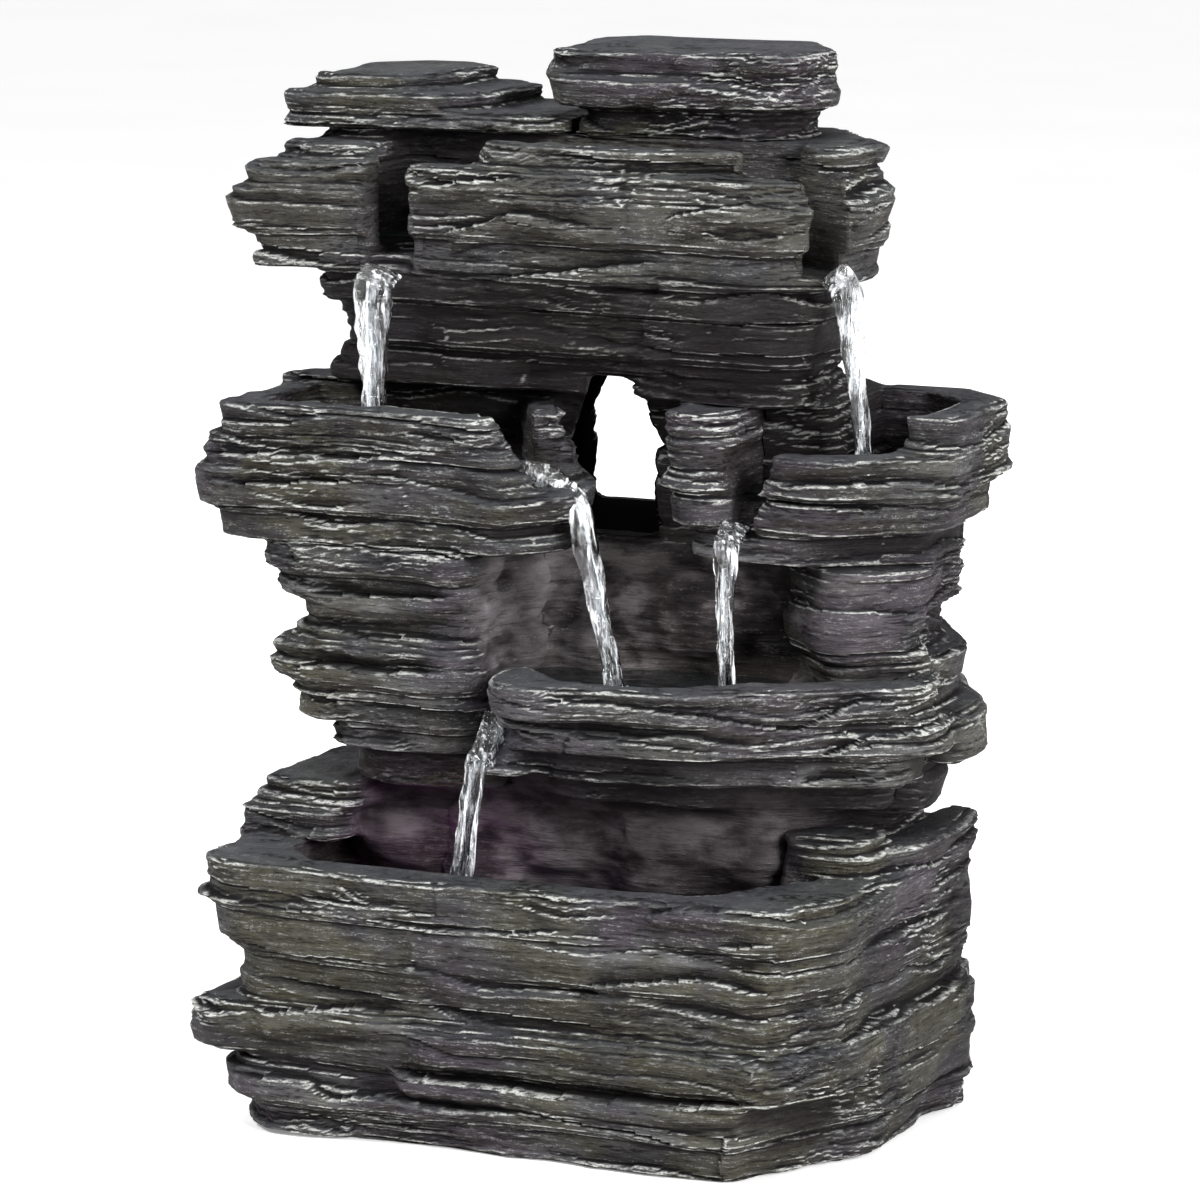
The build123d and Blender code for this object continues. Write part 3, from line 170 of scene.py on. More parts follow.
# Ledges in the front faces: the top edge as points of x and z, thickness, reach, hollow above
LEDGES = {
    "base_reservoir": (
        (((-0.074, 0.1263), (-0.040, 0.1230), (0.005, 0.1241), (0.039, 0.1300)), 0.011, 0.004, 0.003),
        (((-0.150, 0.0700), (-0.139, 0.0672), (-0.089, 0.0746), (-0.055, 0.0750)), 0.016, 0.006, 0.004),
        (((-0.069, 0.0452), (-0.055, 0.0401), (0.024, 0.0399), (0.102, 0.0419), (0.150, 0.0470)),
         0.012, 0.008, 0.008),
        (((-0.160, 0.0315), (-0.116, 0.0326), (-0.100, 0.0238), (-0.060, 0.0311)), 0.011, 0.005, 0.003),
        (((0.083, 0.1409), (0.103, 0.1480), (0.140, 0.1490)), 0.009, 0.005, 0.003),
        (((0.125, 0.1300), (0.142, 0.1310), (0.160, 0.1345)), 0.010, 0.004, 0.003),
        (((0.048, 0.1002), (0.113, 0.1104), (0.158, 0.1040)), 0.014, 0.005, 0.003),
    ),
    "left_basin": (
        (((-0.196, 0.3800), (-0.155, 0.3806), (-0.132, 0.3830)), 0.008, 0.005, 0.002),
        (((-0.198, 0.3616), (-0.159, 0.3646), (-0.107, 0.3647), (-0.076, 0.3680)), 0.011, 0.006, 0.004),
        (((-0.183, 0.3477), (-0.144, 0.3494), (-0.098, 0.3543)), 0.010, 0.004, 0.003),
        (((-0.080, 0.3801), (-0.049, 0.3774), (-0.030, 0.3800)), 0.007, 0.004, 0.002),
    ),
    "left_pillar": (
        (((-0.141, 0.2874), (-0.114, 0.2887), (-0.075, 0.2897), (-0.050, 0.2915)), 0.014, 0.004, 0.004),
        (((-0.138, 0.2715), (-0.105, 0.2670), (-0.055, 0.2689)), 0.012, 0.004, 0.003),
        (((-0.146, 0.2475), (-0.126, 0.2509), (-0.093, 0.2492), (-0.052, 0.2534)), 0.016, 0.006, 0.005),
    ),
    "right_basin": (
        (((0.125, 0.3601), (0.150, 0.3616), (0.167, 0.3616), (0.197, 0.3610)), 0.009, 0.004, 0.003),
        (((0.113, 0.3500), (0.138, 0.3500), (0.159, 0.3470), (0.182, 0.3470)), 0.011, 0.006, 0.004),
    ),
    "centre_basin": (
        (((0.015, 0.2476), (0.060, 0.2476), (0.103, 0.2450), (0.142, 0.2347), (0.169, 0.2480),
          (0.195, 0.2474)),
         0.010, 0.004, 0.002),
        (((0.148, 0.2180), (0.180, 0.2303)), 0.012, 0.005, 0.004),
        (((0.136, 0.2040), (0.175, 0.2066)), 0.006, 0.005, 0.003),
    ),
    "header_basin": (
        (((-0.055, 0.4580), (-0.006, 0.4645), (0.050, 0.4726)), 0.013, 0.005, 0.003),
        (((0.054, 0.4958), (0.074, 0.5010), (0.101, 0.5052), (0.128, 0.5013)), 0.012, 0.005, 0.003),
        (((-0.077, 0.4816), (-0.028, 0.4955), (0.021, 0.4888)), 0.011, 0.005, 0.003),
        (((-0.090, 0.5061), (-0.056, 0.5119), (-0.015, 0.5137)), 0.009, 0.004, 0.002),
    ),
}
LEDGE_FRONT = (0.25, 0.60)
LEDGE_ENDS = (0.012, 0.022)
LEDGE_FOOT = (0.5, 1.2)
LEDGE_WAVER = 0.0011
LEDGE_GRAIN = (0.012, 1.0)
LEDGE_CALM = 0.55
HOLLOW_HEIGHT = 0.011

# Painted shade on the rock: heights below which a casting is painted dark as in shadow, castings in deep
# painted shade, and the painted shade on the recessed walls, taken off the middle one and laid on the foot
# one
DARK_WALLS = {"window_wall": (0.60, 0.61), "header_basin": (0.450, 0.472)}
DEEP_SHADE = {"window_sleeve": 1.7}
MIDDLE_RELIEF = 0.6
FOOT_SHADE = 0.63
# How much paler than the rest a casting is, and the heights between which that ends
PALER = {"header_basin": (0.9, 0.60, 0.61), "centre_basin": (0.8, 0.250, 0.268)}
# Crests, corners, hollows and swells: rounds of smoothing, and how far out of the smooth form is in full.
# Shade is painted in the hollows
WIDE_ROUNDS = 40
SWELL_ROUNDS = 30
CREST_AT = 0.00028
CORNER_AT = (0.00005, 0.00016)
CORNER_FACING = (0.10, 0.30)
CREST_CALM = 0.8
HOLLOW_NEAR = (0.55, 0.00022)
HOLLOW_WIDE = (0.6, 0.0024)
HOLLOW_CALM = 0.5
SWELL_AT = 0.0030
# Painted light on the left of the middle recess and painted shade on its right: shares, and where they start
# and end
LIT_LEFT = (0.45, 0.005, -0.030)
LIT_RIGHT = (0.35, 0.005, 0.030)
# What the slate's material reads at each point
STORED = ("crest", "hollow_shade", "shade", "recess", "inside", "painted_shade", "facing", "swell")
# Noise in the slate: waves per metre, detail, roughness, stretch
SLATE_NOISE = {
    "broad": (7.0, 6.0, 0.6, (1, 1, 4)),
    "patch": (11.0, 3.0, 0.5),
    "speck": (620.0, 3.0, 0.7, (1, 1, 1.6)),
    "lamina": (30.0, 7.0, 0.62, (1, 1, 12)),
    "thread": (200.0, 4.0, 0.62, (1, 1, 5)),
    "swirl": (16.0, 7.0, 0.62, (1, 1, 2.2)),
    "wear": (23.0, 3.0),
}
# Colours of the slate
GREYS = ((0.36, (0.012, 0.011, 0.013)), (0.50, (0.042, 0.040, 0.043)), (0.65, (0.150, 0.148, 0.150)))
DUSK = ((0.41, (0.009, 0.007, 0.008)), (0.50, (0.046, 0.038, 0.039)), (0.59, (0.175, 0.154, 0.158)))
OLIVE = (0.076, 0.072, 0.042)
MAUVE = (0.062, 0.048, 0.064)
PALE_LAYER = (0.112, 0.112, 0.114)
TOP_FACE = (0.046, 0.049, 0.054)
# Painted shade on the faces that look down
UNDERSIDE_SHADE = (0.024, 0.020, 0.015)
# Pale on the swells of the recessed walls, and painted light on the left of the middle recess
PALE_WALL = (0.185, 0.169, 0.177)
INNER_WALL = (0.032, 0.026, 0.023)
PALE_THREAD = (0.38, 0.38, 0.38)
# Dark cracks between the laminae, and painted shade in the hollows
DARK_CRACKS_AND_PAINTED_SHADE = (0.006, 0.005, 0.006)
# Painted shadow, and deep painted shadow
SHADOW = (0.009, 0.007, 0.008)
DEEP_SHADOW = (0.004, 0.004, 0.004)
DRY_BRUSH = (0.66, 0.67, 0.64)
GLOSS = 0.10
CRACK_SHARE = 0.85
BRUSH_SHARE = 0.95
THREAD_DEPTH = 0.4
SPECK_DEPTH = 0.14

# Falling water: the points that each stream passes, the last where it lands, and its half width at the lip
STREAMS = {
    "header_left": (
        ((-0.109, -0.048, 0.4610), (-0.109, -0.058, 0.4565), (-0.109, -0.0630, 0.444),
         (-0.107, -0.065, 0.358)),
        0.0105,
    ),
    "header_right": (
        ((0.139, -0.019, 0.4685), (0.1475, -0.023, 0.4615), (0.1510, -0.0225, 0.445),
         (0.157, -0.012, 0.352)),
        0.0080,
    ),
    "left": (
        ((-0.036, -0.060, 0.3575), (-0.010, -0.060, 0.3545), (0.006, -0.060, 0.346), (0.014, -0.060, 0.330),
         (0.033, -0.061, 0.242)),
        0.0090,
    ),
    "right": (
        ((0.0980, -0.048, 0.3365), (0.0985, -0.060, 0.3310), (0.0995, -0.0665, 0.318),
         (0.100, -0.0675, 0.242)),
        0.0070,
    ),
    "centre": (
        ((-0.029, -0.052, 0.2375), (-0.029, -0.068, 0.232), (-0.029, -0.093, 0.2105),
         (-0.031, -0.101, 0.198), (-0.043, -0.104, 0.122)),
        0.0080,
    ),
}
# Still water: its casting, a point in the middle, its level and the box of x and y that it stays in
POOLS = {
    "foot": ("base_reservoir", (0.0, -0.070), 0.122, (-0.20, 0.20, -0.14, 0.0)),
    "centre": ("centre_basin", (0.070, -0.040), 0.243, (-0.041, 0.20, -0.12, 0.02)),
    "left": ("left_basin", (-0.100, -0.035), 0.358, (-0.20, -0.034, -0.10, 0.006)),
    "right": ("right_basin", (0.140, -0.008), 0.352, (0.088, 0.20, -0.038, 0.10)),
    "header": ("header_basin", (-0.020, 0.010), 0.477, (-0.135, 0.106, -0.036, 0.029)),
}
# A stream: steps along it, points round it, how it narrows and thickens on the way down, and its twist
STREAM_STEPS = 72
STREAM_SIDES = 14
STREAM_WAIST = (0.30, 0.15, 0.6)
STREAM_FLAT = (0.14, 0.22, 0.15, 0.5)
STREAM_TWIST = 0.9
CURVE_STEPS = 6
# A rope of water: the way its flat side faces, and how uneven it is
ROPE_FACE = np.array((0.42, -0.9, 0.3))
ROPE_LEAN = 0.2
ROPE_GRAIN = 2.2
ROPE_WAVE = 7
ROPE_SWELL = (0.12, 0.5)
ROPE_SEED = 9.7
# Thin strands beside a stream: how many, their drift, where they start, their half width, twist and wander
STRANDS = 4
STRAND_DRIFT = (0.5, 0.3)
STRAND_START = (0.1, 0.4)
STRAND_WIDE = (0.0010, 0.0022)
STRAND_FLAT = 0.7
STRAND_TWIST = 4.0
STRAND_WANDER = (5, 0.0022)
# Drops where a stream lands: how many, their largest radius, the shares of it, stretch and scatter
DROPS = 26
DROP_SIZE = 0.0021
DROP_SHARES = (0.4, 1.0)
DROP_STRETCH = (1.0, 2.2)
DROP_SCATTER = np.array((0.008, 0.006, 0.0022))
# A pool's surface: its mesh, the rings where a stream lands and small waves
POOL_SPOKES = 120
POOL_RINGS = 26
LANDS_WITHIN = 0.002
RING_HEIGHT = 0.0011
RING_LENGTH = 0.0021
RING_FADE = 0.016
RIPPLES = ((0.0004, 0.011, 1.0),)

# Camera, fitted to the photograph
AZIMUTH = 25.0
ELEVATION = 9.5
DISTANCE = 3.40
TARGET = Vector((0.004, -0.0175, 0.290))
AIM_DROP = 0.0054
FOCAL_SHARE = 6320 / 1200
SENSOR = 36.0
# Glows of the light in the foot pool: place, power, colour
GLOWS = {
    "pool_glow": ((-0.075, -0.075, 0.142), 0.045, (0.60, 0.12, 0.62)),
    "lip_glow": ((-0.016, -0.112, 0.206), 0.0040, (0.26, 0.20, 1.0)),
}
GLOW_SIZE = 0.006
# Soft boxes: place, target, size, power
LAMPS = {
    "key_light": ((-1.5, -1.9, 2.7), (0, 0, 0.30), 0.8, 76),
    "front_light": ((2.6, -1.5, 1.2), (0, 0, 0.25), 1.0, 150),
    "back_light": ((-0.9, 2.6, 1.7), (0, 0, 0.28), 1.2, 45),
}
# Lamps that shiny faces don't mirror
UNMIRRORED = ("back_light",)
# Light from all round: from below, from above
AMBIENT = (0.16, 1.10)
FLOOR_SIZE = 30
FLOOR_DROP = 0.0005


# Noise

NOISE_GAIN = 1.6
RANDOM = np.random.default_rng(11)
ORDER = RANDOM.permutation(256)
SLOPES = RANDOM.normal(size=(256, 3))
SLOPES /= np.linalg.norm(SLOPES, axis=1, keepdims=True)


def noise(points):
    """Smooth noise of about -1 to 1 at points in units of its own grain."""
    cell = np.floor(points).astype(int)
    part = points - cell
    ease = part * part * part * (part * (part * 6 - 15) + 10)
    total = np.zeros(len(points))
    for corner in np.ndindex(2, 2, 2):
        key = ORDER[(cell[:, 0] + corner[0]) & 255]
        key = ORDER[(key + cell[:, 1] + corner[1]) & 255]
        key = ORDER[(key + cell[:, 2] + corner[2]) & 255]
        rise = ((part - corner) * SLOPES[key]).sum(axis=1)
        weight = np.prod(np.where(corner, ease, 1 - ease), axis=1)
        total += weight * rise
    return total * NOISE_GAIN


def grain(points, across, up):
    """Noise with one grain size along the ground and another upwards."""
    return noise(points / np.array((across, across, up)))


def waves(points, rows):
    """Noise of several grains together, from rows of height, grain along the ground and grain upwards."""
    return sum(height * grain(points, across, up) for height, across, up in rows)


def ramp(values, start, end):
    """0 at start, 1 at end, eased between."""
    share = np.clip((values - start) / (end - start), 0, 1)
    return share * share * (3 - 2 * share)


def blend(first, second, share):
    """From the first value to the second as the share goes from 0 to 1."""
    return (1 - share) * first + share * second


def boxed(points, name):
    """1 inside one of the boxes with soft sides, 0 outside."""
    share = np.ones(len(points))
    for axis, (rise, fall) in enumerate(SOFT_BOXES[name]):
        if rise:
            share *= ramp(points[:, axis], *rise)
        if fall:
            share *= 1 - ramp(points[:, axis], *fall)
    return share


# Rock meshes


def mesh_arrays(mesh):
    """Points, normals and edges of a mesh as arrays."""
    points = np.empty(len(mesh.vertices) * 3)
    mesh.vertices.foreach_get("co", points)
    normals = np.empty(len(mesh.vertices) * 3)
    mesh.vertices.foreach_get("normal", normals)
    edges = np.empty(len(mesh.edges) * 2, dtype=int)
    mesh.edges.foreach_get("vertices", edges)
    return points.reshape(-1, 3), normals.reshape(-1, 3), edges.reshape(-1, 2)


def relax(values, edges, rounds):
    """Values at points, moved towards the mean of their neighbours. A point without any keeps its own."""
    alone = np.setdiff1d(np.arange(len(values)), edges)
    ends = np.concatenate((edges[:, 0], edges[:, 1], alone))
    others = np.concatenate((edges[:, 1], edges[:, 0], alone))
    count = np.bincount(ends, minlength=len(values))
    for _ in range(rounds):
        if values.ndim == 1:
            mean = np.bincount(ends, values[others], len(values)) / count
        else:
            sums = [np.bincount(ends, values[others, k], len(values)) for k in range(values.shape[1])]
            mean = np.stack(sums, axis=1) / count[:, None]
        values = 0.5 * values + 0.5 * mean
    return values


def voxel_copy(node):
    """A casting as an even mesh, closer upwards than along the ground."""
    mesh = frame["nodes"][node].data.copy()
    mesh.materials.clear()
    if node in SHOULDERS or node in SWELLS:
        shape = bmesh.new()
        shape.from_mesh(mesh)
        if node in SHOULDERS:
            low, high = [np.array(corner) for corner in SHOULDERS[node]]
            place = Matrix.Translation((low + high) / 2) @ Matrix.Diagonal((*(high - low), 1))
            bmesh.ops.create_cube(shape, size=1.0, matrix=place)
        for middle, half in SWELLS.get(node, ()):
            place = Matrix.Translation(middle) @ Matrix.Diagonal((*half, 1))
            bmesh.ops.create_icosphere(shape, subdivisions=SWELL_CUTS, radius=1.0, matrix=place)
        shape.to_mesh(mesh)
        shape.free()
    mesh.transform(Matrix.Diagonal((1, 1, STRETCH, 1)))
    piece = bpy.data.objects.new("rock_" + node, mesh)
    bpy.context.scene.collection.objects.link(piece)
    remesh = piece.modifiers.new("even", "REMESH")
    remesh.mode = "VOXEL"
    remesh.voxel_size = VOXEL
    graph = bpy.context.evaluated_depsgraph_get()
    even = bpy.data.meshes.new_from_object(piece.evaluated_get(graph))
    piece.modifiers.clear()
    piece.data = even
    bpy.data.meshes.remove(mesh)
    even.transform(Matrix.Diagonal((1, 1, 1 / STRETCH, 1)))
    even.update()
    return piece


def solid_tree(*nodes):
    """The faces of some CAD nodes, for rays to meet."""
    points, faces = [], []
    for node in nodes:
        mesh = frame["nodes"][node].data
        first = len(points)
        points += [v.co for v in mesh.vertices]
        faces += [[first + k for k in p.vertices] for p in mesh.polygons]
    return BVHTree.FromPolygons(points, faces)


def enclosed(node, points, normals):
    """1 where a wall faces another wall of its own casting, as inside a pool or a shaft, and 0 outside."""
    tree = solid_tree(node)
    inside = np.zeros(len(points))
    flat = normals * (1, 1, 0)
    length = np.linalg.norm(flat, axis=1)
    for k in np.nonzero(length > WALL_SLOPE)[0]:
        way = Vector(flat[k] / length[k])
        hit = tree.ray_cast(Vector(points[k]) + way * WALL_STEP, way, FAR)
        inside[k] = hit[0] is not None
    return inside


def touching(node, points, normals):
    """1 where a face lies against another casting, and 0 elsewhere."""
    tree = solid_tree(*[other for other in ROCKS if other != node])
    against = np.zeros(len(points))
    for k in range(len(points)):
        way = Vector(normals[k])
        hit = tree.ray_cast(Vector(points[k]) - way * TOUCH, way, 2 * TOUCH)
        against[k] = hit[0] is not None and hit[1].dot(way) < TOUCH_FACING
    return against


def sheltered(points, normals):
    """The share of the light from above and in front that other rock keeps off each point."""
    covered = np.zeros(len(points))
    for k in range(len(points)):
        spot = Vector(points[k] + normals[k] * SHELTER_STEP)
        for way in SHELTER_WAYS:
            covered[k] += ALL_ROCK.ray_cast(spot, Vector(way), SHELTER_FAR)[0] is not None
    return covered / len(SHELTER_WAYS)


def layer_of(heights, seed, thin, thick):
    """The layer each height lies in, and how far up that layer it is, from 0 to 1."""
    steps = np.exp(np.random.default_rng(seed).uniform(math.log(thin), math.log(thick), 600))
    edges = np.cumsum(steps) - 0.2
    index = np.searchsorted(edges, heights)
    low, high = edges[index - 1], edges[index]
    return index, (heights - low) / (high - low)


def dice(first, second, seed):
    """A repeatable number from -1 to 1 for each pair of whole numbers."""
    mixed_up = np.sin(12.9898 * first + 78.233 * second + 37.719 * seed) * 43758.5453
    return np.modf(np.abs(mixed_up))[0] * 2 - 1


def slate_offset(points):
    """How far out each point of a broken slate face stands, and a shade for its layer."""
    heights = points[:, 2] + DIP * points[:, 0] + waves(points, FOLDS)
    along = points[:, 0] * BREAK_WAY[0] + points[:, 1] * BREAK_WAY[1] + waves(points, BREAKS)
    busy = CALM_SHARE + (1 - CALM_SHARE) * ramp(grain(points, *BUSY_GRAIN), *BUSY_AT)
    total = BULGE + busy * waves(points, CRUMBS)
    for number, (thin, thick, reach, short, long, lean, tilt) in enumerate(LAYERS):
        index, share = layer_of(heights, LAYER_SEED + number, thin, thick)
        shift = BREAK_SHIFT[0] + BREAK_SHIFT[1] * dice(index, 0, number)
        part, place = layer_of(along + shift, BREAK_SEED + number, short, long)
        fade = ramp(place, *BREAK_FADE)
        level = reach * blend(dice(index, part, number), dice(index, part + 1, number), fade)
        level += tilt * (place - 0.5) * (1 - fade) * dice(part, index, TILT_SEED + number)
        edge = EDGE_AT[0] + EDGE_AT[1] * dice(index, 3, number)
        slants = [dice(part + k, index, SLANT_SEED + number) for k in (0, 1)]
        slant = SLANT[0] + SLANT[1] * blend(*slants, fade)
        rise = np.where(share < edge, share / edge - 0.5, 0.5 - EDGE_DROP * (share - edge) / (1 - edge))
        level += lean * slant * rise
        total += level * busy if number >= CALM_LEVELS else level
        heights = heights + WAVER[0] * thin * grain(points, WAVER[1] * short, WAVER[1] * short)
    shade = 0.5 + 0.5 * dice(index, part, SHADE_SEED)
    return OFFSET_MIDDLE + OFFSET_REACH * np.tanh((total - OFFSET_MIDDLE) / OFFSET_REACH), shade


def ledges(node, points, out):
    """How far the ledges of a casting stand out of its front faces, and 1 where a ledge is."""
    x, z = points[:, 0], points[:, 2]
    front = ramp(-out[:, 1], *LEDGE_FRONT)
    stand, taken = np.zeros(len(points)), np.zeros(len(points))
    for corners, thick, reach, hollow in LEDGES.get(node, ()):
        xs, zs = np.array(corners).T
        below = np.interp(x, xs, zs) + LEDGE_WAVER * grain(points, *LEDGE_GRAIN) - z
        here = front * ramp(x, xs[0], xs[0] + LEDGE_ENDS[0]) * (1 - ramp(x, xs[-1] - LEDGE_ENDS[1], xs[-1]))
        foot = 1 - ramp(below, LEDGE_FOOT[0] * thick, LEDGE_FOOT[1] * thick)
        plate = here * np.where(below > 0, foot, 0)
        scoop = here * np.where(below > 0, 0, np.exp(np.minimum(below, 0) / HOLLOW_HEIGHT))
        stand += reach * plate - hollow * scoop
        taken = np.maximum(taken, np.maximum(plate, scoop))
    return stand, taken


def recess_masks(points, normals):
    """1 on the smooth walls behind the streams: those of the middle pool, those of the foot pool."""
    side = boxed(points, "side") * ramp(normals[:, 0], *SIDE_FACING)
    middle = np.maximum(boxed(points, "back"), side)
    middle = np.maximum(middle, RIGHT_SHARE * boxed(points, "right"))
    front = normals[:, 1] < FRONT_FACING
    return middle * front, boxed(points, "foot") * front


def sill_shade(points, normals):
    """1 on the ledge under the window, where shade is painted."""
    return boxed(points, "sill") * ramp(normals[:, 2], *SILL_FACING) * (points[:, 2] < SILL_TOP)


def shade_on(node, points, normals, edges, middle, foot):
    """How much shade is painted on each point: 1 is full painted shade, and more is deep painted shade."""
    painted_shade = relax(sheltered(points, normals), edges, SHELTER_SPREAD)
    if node in DARK_WALLS:
        painted_shade = np.maximum(painted_shade, 1 - ramp(points[:, 2], *DARK_WALLS[node]))
    painted_shade = np.maximum(painted_shade * (1 - MIDDLE_RELIEF * middle), FOOT_SHADE * foot)
    return np.maximum(painted_shade + sill_shade(points, normals), DEEP_SHADE.get(node, 0))


def back_calm(points, normals):
    """How plain the back face is: 1 round the fittings, less elsewhere, 0 on the other faces."""
    x, y, z = points.T
    calm = np.full(len(points), CALM_BACK)
    for x0, x1, z0, z1 in FITTINGS:
        gap = np.max((x0 - x, x - x1, z0 - z, z - z1), axis=0)
        calm = np.maximum(calm, 1 - ramp(gap, *FITTING_MARGIN))
    return calm * ramp(y, *CALM_Y) * (normals[:, 1] > BACK_FACING)


def store(mesh, name, values):
    """A number at each point, for a material to read."""
    layer = mesh.attributes.new(name, "FLOAT", "POINT")
    layer.data.foreach_set("value", np.ascontiguousarray(values, dtype=np.float32))


def carve(node, mesh):
    """Break the faces of a casting into slate. Returns its upright edges and what its looks need."""
    points, normals, edges = mesh_arrays(mesh)
    slope = np.abs(np.diff(points[edges], axis=1)[:, 0])
    steep = slope[:, 2] > UPRIGHT * np.linalg.norm(slope, axis=1)
    inside = relax(enclosed(node, points, normals), edges, INSIDE_SPREAD)
    against = touching(node, points, normals)
    seam = np.clip(SEAM_GAIN * relax(against, edges, SEAM_SPREAD), 0, 1)
    middle, foot = [mask * (node in RECESSED) for mask in recess_masks(points, normals)]
    recess = np.maximum(middle, foot)
    painted_shade = shade_on(node, points, normals, edges, middle, foot)
    plain_back = back_calm(points, normals)
    front = 1 - ramp(points[:, 1], *CALM_Y)
    rounded = relax(points, edges, ROUNDING)
    rounded[:, :2] = relax(rounded[:, :2], edges[~steep], PLAN_ROUNDING)
    soft = relax(points, edges, RECESS_ROUNDING)
    loose = 1 - np.clip(INSIDE_KEEP * inside + plain_back + recess + seam, 0, 1)
    slack = recess * (1 - seam)
    points = points + (rounded - points) * loose[:, None] + (soft - points) * slack[:, None]
    rough = (1 - plain_back) * (1 - INSIDE_CALM * inside) * (1 - RECESS_CALM * recess)
    rough = relax(rough, edges, ROUGH_SPREAD) * (1 - against)
    lift = waves(points, LIFTS) * front * ramp(points[:, 2], 0, GROUND_FADE)
    lift += waves(points, PITS) * ramp(normals[:, 2], *PIT_FACING) * front
    points[:, 2] += lift * (1 - inside)
    out = relax(normals, edges, OUT_SPREAD) * (1, 1, 0)
    out /= np.maximum(np.linalg.norm(out, axis=1, keepdims=True), OUT_LEAST)
    offset, shade = slate_offset(points)
    stand, taken = ledges(node, points, out)
    offset = offset * (1 - LEDGE_CALM * taken) + stand
    offset = np.maximum(offset, -2 * OFFSET_REACH * (1 - seam)) * rough
    swirl = (BULGE + waves(points, SWIRLS)) * np.maximum(recess, INSIDE_SWIRL * inside) * (1 - against)
    points += out * (offset + swirl * (1 - seam))[:, None]
    points[:, 2] = np.maximum(points[:, 2], 0)
    mesh.vertices.foreach_set("co", points.ravel())
    mesh.update()
    return edges[steep], shade, painted_shade, inside, middle, recess


def store_looks(node, mesh, upright, shade, painted_shade, inside, middle, recess):
    """Crests, hollows, swells and painted shade at each point, for the slate's material."""
    points, normals, edges = mesh_arrays(mesh)

    def proud(links, rounds):
        """How far each point stands out of the smoothed form."""
        return ((points - relax(points, links, rounds)) * normals).sum(axis=1)

    near, wide = proud(upright, 1), proud(upright, WIDE_ROUNDS)
    corner = ramp(proud(edges, 1), *CORNER_AT) * ramp(normals[:, 2], *CORNER_FACING)
    crest = np.maximum(np.clip(near / CREST_AT, 0, 1), corner)
    # Painted shade in the hollows: in creases and in wide dips
    hollow_shade = sum(part * np.clip(-depth / full, 0, 1)
               for depth, (part, full) in ((near, HOLLOW_NEAR), (wide, HOLLOW_WIDE)))
    # Painted light on the left of the middle recess and painted shade on its right, laid on the swell
    lit = LIT_LEFT[0] * ramp(points[:, 0], *LIT_LEFT[1:]) - LIT_RIGHT[0] * ramp(points[:, 0], *LIT_RIGHT[1:])
    if node in PALER:
        amount, *ends = PALER[node]
        shade = shade + amount * (1 - ramp(points[:, 2], *ends))
    looks = {
        "crest": crest * (1 - CREST_CALM * np.maximum(recess, inside)),
        "hollow_shade": hollow_shade * (1 - HOLLOW_CALM * recess),
        "shade": shade,
        "recess": recess,
        "inside": inside,
        "painted_shade": painted_shade,
        "facing": normals[:, 2],
        "swell": np.clip(proud(edges, SWELL_ROUNDS) / SWELL_AT + lit * middle, -1, 1),
    }
    for name in STORED:
        store(mesh, name, looks[name])


def rock_piece(node):
    """One casting with broken slate faces, smooth recesses and plain inner walls."""
    piece = voxel_copy(node)
    mesh = piece.data
    store_looks(node, mesh, *carve(node, mesh))
    mesh.shade_smooth()
    mesh.set_sharp_from_angle(angle=math.radians(CRISP))
    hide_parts(node)
    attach(piece, "fountain")
    return piece


# Materials


def new_material(name):
    """A material with its node tree and its main shader."""
    material = bpy.data.materials.new(name)
    material.use_nodes = True
    return material, material.node_tree, material.node_tree.nodes["Principled BSDF"]


def add(tree, kind, **settings):
    """A node with some of its settings and input values."""
    node = tree.nodes.new(kind)
    for key, value in settings.items():
        if hasattr(node, key):
            setattr(node, key, value)
        else:
            node.inputs[key.replace("_", " ")].default_value = value
    return node


def texture(tree, scale, detail=5.0, rough=0.6, stretch=(1, 1, 1)):
    """Noise on the piece's own coordinates, in waves per metre, stretched along its axes."""
    place = add(tree, "ShaderNodeTexCoord")
    fit = add(tree, "ShaderNodeMapping", Scale=stretch)
    tree.links.new(place.outputs["Object"], fit.inputs["Vector"])
    cloud = add(tree, "ShaderNodeTexNoise", Scale=scale, Detail=detail, Roughness=rough)
    tree.links.new(fit.outputs["Vector"], cloud.inputs["Vector"])
    return cloud.outputs["Fac"]


def colours(tree, value, stops):
    """A colour ramp over a value, from (place, colour) stops."""
    band = add(tree, "ShaderNodeValToRGB")
    for element, (place, colour) in zip(band.color_ramp.elements, (stops[0], stops[-1])):
        element.position, element.color = place, (*colour, 1)
    for place, colour in stops[1:-1]:
        band.color_ramp.elements.new(place).color = (*colour, 1)
    tree.links.new(value, band.inputs["Fac"])
    return band.outputs["Color"]


def number(tree, value, low, high, to_low=0.0, to_high=1.0):
    """A value mapped from one range to another and held there."""
    node = add(tree, "ShaderNodeMapRange", clamp=True)
    for key, amount in (("From Min", low), ("From Max", high), ("To Min", to_low), ("To Max", to_high)):
        node.inputs[key].default_value = amount
    tree.links.new(value, node.inputs["Value"])
    return node.outputs["Result"]


def combine(tree, operation, first, second):
    """Arithmetic on two values, each a socket or a number."""
    node = add(tree, "ShaderNodeMath", operation=operation)
    for socket, value in zip(node.inputs, (first, second)):
        if isinstance(value, (int, float)):
            socket.default_value = value
        else:
            tree.links.new(value, socket)
    return node.outputs["Value"]


def product(tree, first, *others):
    """Several values multiplied together, each a socket or a number."""
    for other in others:
        first = combine(tree, "MULTIPLY", first, other)
    return first


